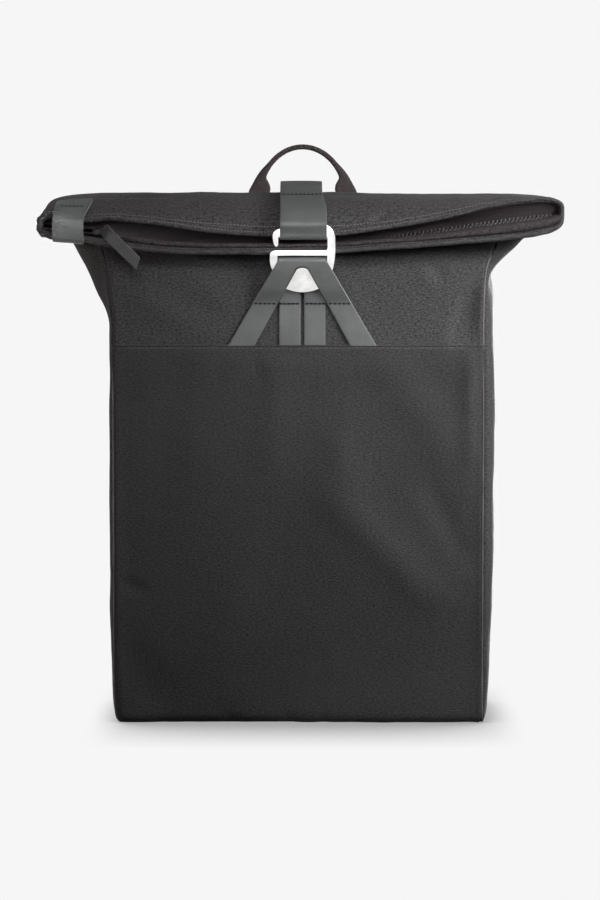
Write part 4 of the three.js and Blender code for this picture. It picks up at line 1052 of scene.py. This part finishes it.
def hook_tab():
    """The leather folded over the hook's plate, as a left and a right half that share their middle line. Each
    row runs from the inner edge to the outer: in front these are the notch and the slanting side, behind
    they are the slit and the straight side. A near-black bead round the notch is a painted shadow, and a seam runs
    across all legs."""
    clear = GAP + TAB_LEATHER / 2
    radius = HOOK.thick / 2 + clear
    top = PLATE.tab_edge - 0.6

    def on_panel(*heights):
        """Y and Z of the leather's middle where it lies on the front panel."""
        return np.stack([front_y(np.array(heights)) - clear, heights], -1)

    front = path_line(np.concatenate([
        on_panel(TAB.foot_z, 309.0, 320.0), on_panel(STITCH_Z) - [1.2, 0],
        on_hook(np.array([3.0, 10, 18, top]), radius),
    ]), 0.9)
    turn = np.linspace(0, np.pi, 13)[1:-1]
    fold = on_hook(top + radius * np.sin(turn), radius * np.cos(turn))
    rear = path_line(np.concatenate([
        on_hook(np.array([top, 18.0, 9, 1]), -radius), on_panel(STITCH_Z, 320.0, 309.0, TAB.foot_z),
    ]), 1.2)
    rear[:, 0] += 0.2
    z = front[:, 1]
    rise = np.clip((z - TAB.foot_z) / (on_hook(top)[1] - TAB.foot_z), 0, 1)
    outer = mix(TAB.foot_half, TAB.top_half, rise)
    leg = mix(TAB.notch_foot, TAB.notch_neck, (z - TAB.foot_z) / (TAB.neck_z - TAB.foot_z))
    cap = np.clip((TAB.notch_top - z) / (TAB.notch_top - TAB.neck_z), 0, 1)
    inner = np.where(z < TAB.neck_z, leg, TAB.notch_neck * np.sqrt(1 - (1 - cap) ** 2))
    slit_top = on_hook(4.0)[1]
    rear_inner = TAB.slit_half * (1 - smooth(rear[:, 1], slit_top - 3, slit_top))
    line = np.concatenate([front, fold, rear])
    out_edge = np.r_[outer, np.full(len(fold), TAB.top_half - 0.6), np.full(len(rear), TAB.rear_half)]
    in_edge = np.r_[inner, np.zeros(len(fold)), rear_inner]
    x = mix(in_edge[:, None], out_edge[:, None], np.linspace(0, 1, 12))
    right, left = (np.stack(np.broadcast_arrays(HOOK.x + way * x, line[:, :1], line[:, 1:]), -1) for way in (1, -1))
    piece = weld(grid_object("hook_tab_leather", right, left[:, ::-1]))
    thicken(piece, TAB_LEATHER, bevel=0.35, rim=1)
    dress(piece, "leather", LEATHER_LIT_COPY, LEATHER_EDGE_AND_HIGHLIGHT, stands_for=["hook_tab"])

    # painted shadow: a near-black bead round the notch, thicker at its top, where shade falls on the cut edge
    beside = (z > TAB.rim_foot) & (z < TAB.notch_top)
    rim = np.stack([inner[beside], front[beside, 0] - TAB_LEATHER / 2 + 0.1, z[beside]], -1)
    rim = np.concatenate([rim * [-1, 1, 1], [[0, rim[-1, 1], TAB.notch_top]], rim[::-1]]) + [HOOK.x, 0, 0]
    rim = path_line(rim, 0.7)
    half = mix(TAB.rim_half, TAB.rim_top_half, smooth(rim[:, 2], TAB.neck_z - 2, TAB.notch_top - 0.5))
    dress(swept("tab_notch_painted_shadow", rim, FRONT, half, half, 8, 2.0), "leather", NOTCH_SHADOW)

    at = np.argmin(np.abs(z - STITCH_Z))
    for way, word in ((1, "right"), (-1, "left")):
        for name, ends, y in (
            ("leg", (in_edge[at] + 0.8, out_edge[at] - 0.8), front[at, 0] - TAB_LEATHER / 2),
            ("rear", (2.2, in_edge[at] - 1), front_y(STITCH_Z) - 2 * clear),
        ):
            row = np.array([[HOOK.x + way * end, y - 0.1, STITCH_Z] for end in ends])
            stitch_row(f"tab_{name}_stitches_{word}", row, FRONT, "leather", BLACK_THREAD, pitch=3.2, long=2.8,
                       thread=1.4)


def back_y(z):
    """Y of the back's middle at a height."""
    return SECTION["back_y"](row_at("back_z", z))


def closure_strap():
    """The strap: a ribbon carried along its path over the top, round the hook's bow and back up to a seam."""
    lift = GAP + STRAP_LEATHER / 2 + 0.6
    radius = HOOK.thick / 2 + GAP + STRAP_LEATHER / 2
    under = PLATE.bow_low + 1.1
    bow = PLATE.bow_top_right
    turn = np.linspace(0, np.pi, 9)
    path = np.concatenate([
        [[back_y(z) + lift, z] for z in (338.0, 362.0, 384.0)],
        [[57.5, 398.5], [51, 411.8], [38, 422], [20, 427.5], [0, 428.6], [-22, 426.4], [-44, 420.6], [-62, 413.2],
         [-76, 405]],
        on_hook(np.array([bow - 0.2, bow - 3.4, bow - 7]), np.array([radius + 1.3, radius + 0.7, radius])),
        on_hook(under - radius * np.sin(turn), radius * np.cos(turn)),
        on_hook(np.array([bow - 4, bow + 1.5]), -radius),
        [[-74.4, 402.2], [-61, 410.9], [-49.3, 416]],
    ])
    line = path_line(path, 1.3)
    front = smooth(-line[:, 0], 40, 80)
    right = mix(STRAP.top_right, STRAP.loop_right, front)
    share = np.linspace(0, 1, 11)
    x = mix(right[:, None], STRAP.left, share)
    cup = 0.35 * (2 * share - 1) ** 2
    points = np.stack([x, np.broadcast_to(line[:, :1], x.shape), line[:, 1:] - cup * (1 - front[:, None])], -1)
    piece = thicken(grid_object("closure_strap_leather", points), STRAP_LEATHER, bevel=0.45, rim=1)
    dress(piece, "leather", LEATHER, LEATHER_EDGE_AND_HIGHLIGHT, stands_for=["closure_strap"])
    ways = unit(np.gradient(line, axis=0))
    for name, at, ends in (
        ("strap_front_stitches", np.argmax(line[:, 0] < STRAP.front_sewn_y), (-15.2, 16.5)),
        ("strap_rear_stitches", np.argmax(line[:, 1] > STRAP.rear_sewn_z), (-14.8, 14.4)),
    ):
        out = np.array([0, ways[at, 1], -ways[at, 0]])
        place = np.r_[0, line[at]] + out * (STRAP_LEATHER / 2 + 0.35)
        row = place + np.array(ends)[:, None] * [1, 0, 0]
        stitch_row(name, row, out, "leather", BLACK_THREAD, pitch=3.1, long=2.2, thread=1.3)


# Handle and shoulder straps

HANDLE = Sizes(x=1, y=66, arch_z=414, half=36, rise=43.6, foot_z=372)
# Half-widths of the handle towards the outside and the inside of the arch, and half its depth, at each height.
handle_outer = through([372, 419.5, 425, 435, 445, 460], [9, 9, 7, 4.4, 2.2, 2.1])
handle_inner = through([372, 419, 424, 429, 434, 460], [8.6, 8.6, 8.7, 7, 2.4, 2.1])
handle_deep = through([372, 420, 430, 440, 460], [1.5, 1.6, 3, 5, 5.5])


def handle():
    """The carry handle: webbing folded in two along an arch that is half an ellipse. Near each foot it opens
    out to its full flat width, quickly on the inner side, and runs down the back panel."""
    h = HANDLE
    angle = np.linspace(-0.9, 0.9, 61) * np.pi / 2
    arch = np.stack(np.broadcast_arrays(h.half * np.sin(angle), h.y, h.arch_z + h.rise * np.cos(angle)), -1)
    drop = np.linspace(0, 1, 14)[1:]
    height = mix(arch[-1, 2], h.foot_z, drop)
    on_back = back_y(np.minimum(height, 402)) + 2.2
    y = mix(on_back, h.y, smooth(height, 404, 420))
    low = np.stack([arch[-1, 0] + 0.8 * smooth(drop, 0, 0.5), y, height], -1)
    centres = np.concatenate([(low * [-1, 1, 1])[::-1], arch, low]) + [h.x, 0, 0]
    z = centres[:, 2]
    bar = swept("carry_handle_web", centres, BACK, (handle_outer(z), handle_inner(z)), handle_deep(z), 20, 3.0)
    dress(bar, "webbing", WEB, stands_for=["handle"])


SHOULDER = Sizes(
    top_x=74, top_z=372, end_x=104, end_z=142, bow=34, half=29, end_half=15, deep=5.5,
    foot_x=122, foot_z=26, web_half=12.5, binding=2.2,
)
RING = Sizes(half=16, tall=24, bar=4, middle=2.4, thick=3.6, drop=3.4, corner=3.0)


def strap_line(share, side):
    """The middle of a shoulder strap: down and outwards along the back, standing off it in a bow that rises and
    falls as a sine."""
    s = SHOULDER
    z = mix(s.top_z, s.end_z, share)
    bow = s.bow * np.sin(np.pi * np.minimum(share * 0.86, 1)) ** 0.8
    return np.stack([side * mix(s.top_x, s.end_x, share ** 1.6), back_y(z) + s.deep + 0.5 + bow, z], -1)


def plump(piece, voxel, most):
    """Fills a pad: its mesh is made even with small cubes and laid out flat by X and Z, then cloth with pressure
    inside swells for twenty frames, and no point may move further than a limit."""
    even = piece.modifiers.new("even", "REMESH")
    even.mode = "VOXEL"
    even.voxel_size = voxel * MM
    mesh = bpy.data.meshes.new_from_object(piece.evaluated_get(bpy.context.evaluated_depsgraph_get()))
    piece.modifiers.clear()
    piece.data = mesh
    mesh.polygons.foreach_set("use_smooth", np.ones(len(mesh.polygons), bool))
    before = coordinates(mesh)
    corners = np.empty(len(mesh.loops), np.int32)
    mesh.loops.foreach_get("vertex_index", corners)
    mesh.uv_layers.new(name="flat").data.foreach_set("uv", before[corners][:, [0, 2]].ravel())
    frames = 20
    cloth = piece.modifiers.new("fill", "CLOTH")
    cloth.settings.use_pressure = True
    cloth.settings.uniform_pressure_force = 4
    cloth.settings.effector_weights.gravity = 0
    cloth.point_cache.frame_end = frames
    for number in range(1, frames + 1):
        bpy.context.scene.frame_set(number)
    swollen = piece.evaluated_get(bpy.context.evaluated_depsgraph_get()).data
    move = coordinates(swollen) - before
    long = np.linalg.norm(move, axis=1, keepdims=True)
    move *= np.minimum(1, most * MM / np.maximum(long, 1e-9))
    piece.modifiers.clear()
    mesh.vertices.foreach_set("co", (before + move).ravel())
    mesh.update()
    softer = piece.modifiers.new("soft", "SUBSURF")
    softer.levels = softer.render_levels = 1
    return piece


def strap_pad(side, word):
    """A shoulder strap's pad and its two bound edges. It narrows towards its lower end."""
    s = SHOULDER
    share = np.linspace(0, 1, 61)
    centres = strap_line(share, side)
    along = unit(np.gradient(centres, axis=0))
    across = unit(np.array([1.0, 0, 0]) - along[:, :1] * along)
    out = np.cross(along, across)
    end = smooth(share, 0.72, 1)
    wide = mix(s.half, s.end_half, end) - 1.2
    deep = mix(s.deep, 3.0, np.maximum(end, smooth(0.06 - share, 0, 0.06))) - 1.6
    pad = swept("shoulder_pad_" + word, centres, out, wide, deep, 24, 4.0, across)
    plump(pad, 3.0, 2.2)
    dress(pad, "canvas", CANVAS, stands_for=["shoulder_strap_" + word])
    for way, edge in ((1, "outer"), (-1, "inner")):
        line = centres + across * (way * (wide + 0.4))[:, None]
        binding = swept(f"pad_binding_{edge}_{word}", line, out, s.binding, s.binding, 12, 2.4, across)
        dress(binding, "webbing", WEB)


def adjuster(side, word):
    """The flat ring below a pad: a rounded plate with two slots and a bar between them."""
    wide, tall, r = RING.half, RING.tall, RING.corner
    edge = outline(
        (-wide + r, -tall), (wide - r, -tall), (wide, -tall, wide, -tall + r), (wide, -r), (wide, 0, wide - r, 0),
        (-wide + r, 0), (-wide, 0, -wide, -r), (-wide, -tall + r), (-wide, -tall, -wide + r, -tall),
    )
    half, low, high = SHOULDER.web_half + 0.7, -tall + RING.bar, -RING.bar
    slots = [box(half, low, -tall / 2 - RING.middle / 2), box(half, -tall / 2 + RING.middle / 2, high)]
    points, faces = flat_plate("adjuster", [edge, *slots], RING.thick, 0.7)
    place = strap_line(np.array([1.0]), side)[0] - [0, 0, RING.drop]
    piece = new_object("adjuster_ring_" + word, points + place, faces)
    dress(weld(piece), "buckle_plastic", ACETAL, stands_for=["strap_adjuster_" + word])


def strap_web(side, word):
    """The webbing from the foot of the back up to the adjuster, round its bar and back: a ribbon along a line."""
    s = SHOULDER
    x, y, z = strap_line(np.array([1.0]), side)[0]
    bar_z = z - RING.drop - RING.tall / 2
    radius = np.hypot(RING.thick, RING.middle) / 2 + GAP + WEBBING / 2
    foot_y = back_y(s.foot_z) + GAP + WEBBING / 2 + 0.4
    turn = np.linspace(-0.2, np.pi + 0.2, 11)
    path = path_line(np.concatenate([
        [[side * s.foot_x, foot_y, s.foot_z]],
        [[side * mix(s.foot_x, s.end_x, out), mix(foot_y, y, off) + 3, mix(s.foot_z, bar_z, up)]
         for out, off, up in ((0.3, 0.35, 0.3), (0.68, 0.85, 0.66))],
        [[x, y + radius, bar_z - RING.tall / 2 - 1]],
        np.stack(np.broadcast_arrays(x, y + radius * np.cos(turn), bar_z + radius * np.sin(turn)), -1),
    ]), 1.2)
    points = path[:, None] + np.linspace(-s.web_half, s.web_half, 13)[:, None] * [1, 0, 0]
    web = thicken(grid_object("strap_web_" + word, points), WEBBING, bevel=0.4)
    dress(web, "webbing", WEB, stands_for=["strap_webbing_" + word])


# Studio

PALE = "#f6f6f6"
# The soft shadow on the floor: how far from the base it reaches, how dark it is, its middle in X, and how far from
# there it starts to fade and is gone.
SHADOW = Sizes(reach=127, dark=0.42, middle=3, fade=138, gone=176)
# Lights: place and aim in metres, size, spread in degrees and power.
LIGHTS = {
    "key_light": ((0.55, -0.40, 0.55), (0.15, 0, 0.235), 0.3, 70, 2.2),
    "upper_light": ((-0.17, -0.85, 0.90), (-0.065, -0.06, 0.41), 0.3, 34, 0.22),
    "hook_light": ((0.26, -1.25, 0.66), (0.025, -0.07, 0.365), 0.2, 10, 0.052),
    "loop_light": ((0.02, -1.25, 0.10), (0.0, -0.082, 0.376), 0.05, 1.8, 0.004),
    "end_light": ((-1.0, -1.25, 0.50), (-0.203, -0.072, 0.403), 0.04, 2.0, 0.014),
    "mouth_light": ((-0.45, -1.4, 0.44), (-0.12, -0.07, 0.386), (0.16, 0.01), 2.4, 0.006),
    "low_light": ((0.30, -1.25, 0.04), (0.10, -0.06, 0.014), (0.24, 0.01), 5, 0.013),
    "fill_light": ((-1.6, -1.4, 0.9), (0, 0, 0.3), 1.2, 180, 2),
    "edge_light": ((-1.3, -0.25, 0.4), (0, 0, 0.3), 0.8, 180, 5),
    "top_light": ((0.2, 0.2, 2.6), (0, 0, 0.3), 1.6, 180, 2),
    "back_light": ((0.7, 2.2, 0.30), (0, 0, 0.25), 0.6, 180, 110),
}
WARM_LIGHTS = ("fill_light", "edge_light")  # they give the dark cloth on the left a faint red tint
# The camera: where it looks, how far off and how many degrees up it is, the millimetres of a pixel there, the
# pixels from top to bottom, and its sensor.
CAMERA = Sizes(aim=(-1.2, -62, 217.6), away=2600, up=4.3, pixel=0.788, tall=900, sensor=36)


def studio():
    """A pale floor that runs out of sight and is darker close to the base, a pale room, a soft light from the
    upper right, others from the left, above and behind, narrow ones on single places, and a camera."""
    scene = bpy.context.scene
    scene.view_settings.view_transform = "Standard"
    material, tree, shader = new_material("pale_studio_floor", gloss=0.0, Roughness=1.0,
                                          Base_Color=linear("#000000"), Emission_Color=linear(PALE))
    rays = add_node(tree, "LightPath").outputs["Is Diffuse Ray"]
    near = add_node(tree, "AmbientOcclusion", {"Distance": SHADOW.reach * MM}, samples=8).outputs["AO"]
    lit = add_node(tree, "MapRange", {"Value": near, "From Min": 0.5, "To Min": SHADOW.dark}).outputs[0]
    across = add_node(tree, "SeparateXYZ", {"Vector": add_node(tree, "TexCoord").outputs["Object"]}).outputs["X"]
    beside = add_node(tree, "Math", {0: across, 1: SHADOW.middle * MM}, operation="SUBTRACT").outputs[0]
    beside = add_node(tree, "Math", {0: beside}, operation="ABSOLUTE").outputs[0]
    ends = {"Value": beside, "From Min": SHADOW.fade * MM, "From Max": SHADOW.gone * MM, "To Min": lit, "To Max": 1.0}
    shown = add_node(tree, "MapRange", ends, interpolation_type="SMOOTHSTEP").outputs[0]
    glow = add_node(tree, "MapRange", {"Value": rays, "To Min": shown, "To Max": 0.05}).outputs[0]
    tree.links.new(glow, shader.inputs["Emission Strength"])
    reach = np.linspace(-30000, 30000, 5)
    points = np.stack(np.broadcast_arrays(reach[None, :], reach[:, None], -0.3), -1)
    floor = grid_object("studio_floor", points)
    floor.data.materials.append(material)

    world = bpy.data.worlds.new("studio_room")
    scene.world = world
    world.use_nodes = True
    tree = world.node_tree
    rays = add_node(tree, "LightPath").outputs
    way = add_node(tree, "SeparateXYZ", {"Vector": add_node(tree, "TexCoord").outputs["Generated"]}).outputs["Y"]
    mirrored = add_node(tree, "MapRange", {"Value": way, "From Min": -0.3, "From Max": 0.4, "To Min": 1.0,
                                           "To Max": 0.15}).outputs[0]
    indirect = add_node(tree, "MapRange", {"Value": rays["Is Diffuse Ray"], "To Min": mirrored,
                                           "To Max": 0.04}).outputs[0]
    level = add_node(tree, "MapRange", {"Value": rays["Is Camera Ray"], "To Min": indirect, "To Max": 1.0}).outputs[0]
    shell = tree.nodes["Background"]
    shell.inputs["Color"].default_value = linear(PALE)
    tree.links.new(level, shell.inputs["Strength"])

    for name, (place, aim, size, spread, power) in LIGHTS.items():
        light = bpy.data.lights.new(name, "AREA")
        light.shape = "RECTANGLE"
        light.size, light.size_y = size if isinstance(size, tuple) else (size, size)
        light.spread = np.radians(spread)
        light.energy = power
        light.color = linear("#ffe6e8" if name in WARM_LIGHTS else "#ffffff")[:3]
        lamp = bpy.data.objects.new(name, light)
        lamp.location = place
        lamp.rotation_euler = (Vector(aim) - Vector(place)).to_track_quat("-Z", "Y").to_euler()
        bpy.context.collection.objects.link(lamp)

    aim, up = Vector(CAMERA.aim) * MM, np.radians(CAMERA.up)
    data = bpy.data.cameras.new("photo_camera")
    data.sensor_width = CAMERA.sensor
    data.lens = CAMERA.sensor * CAMERA.away / (CAMERA.tall * CAMERA.pixel)
    camera = bpy.data.objects.new("photo_camera", data)
    camera.location = aim + CAMERA.away * MM * Vector((0, -np.cos(up), np.sin(up)))
    camera.rotation_euler = (aim - camera.location).to_track_quat("-Z", "Y").to_euler()
    bpy.context.collection.objects.link(camera)
    scene.camera = camera


studio()
base_cloth()
lower_front()
upper_front()
front_seam_welts()
back_and_sides()
roll_top()
zip_parts()
slider_and_pull()
end_tab()
hook()
hook_tab()
closure_strap()
handle()
for hand in ((-1, "left"), (1, "right")):
    strap_pad(*hand)
    adjuster(*hand)
    strap_web(*hand)
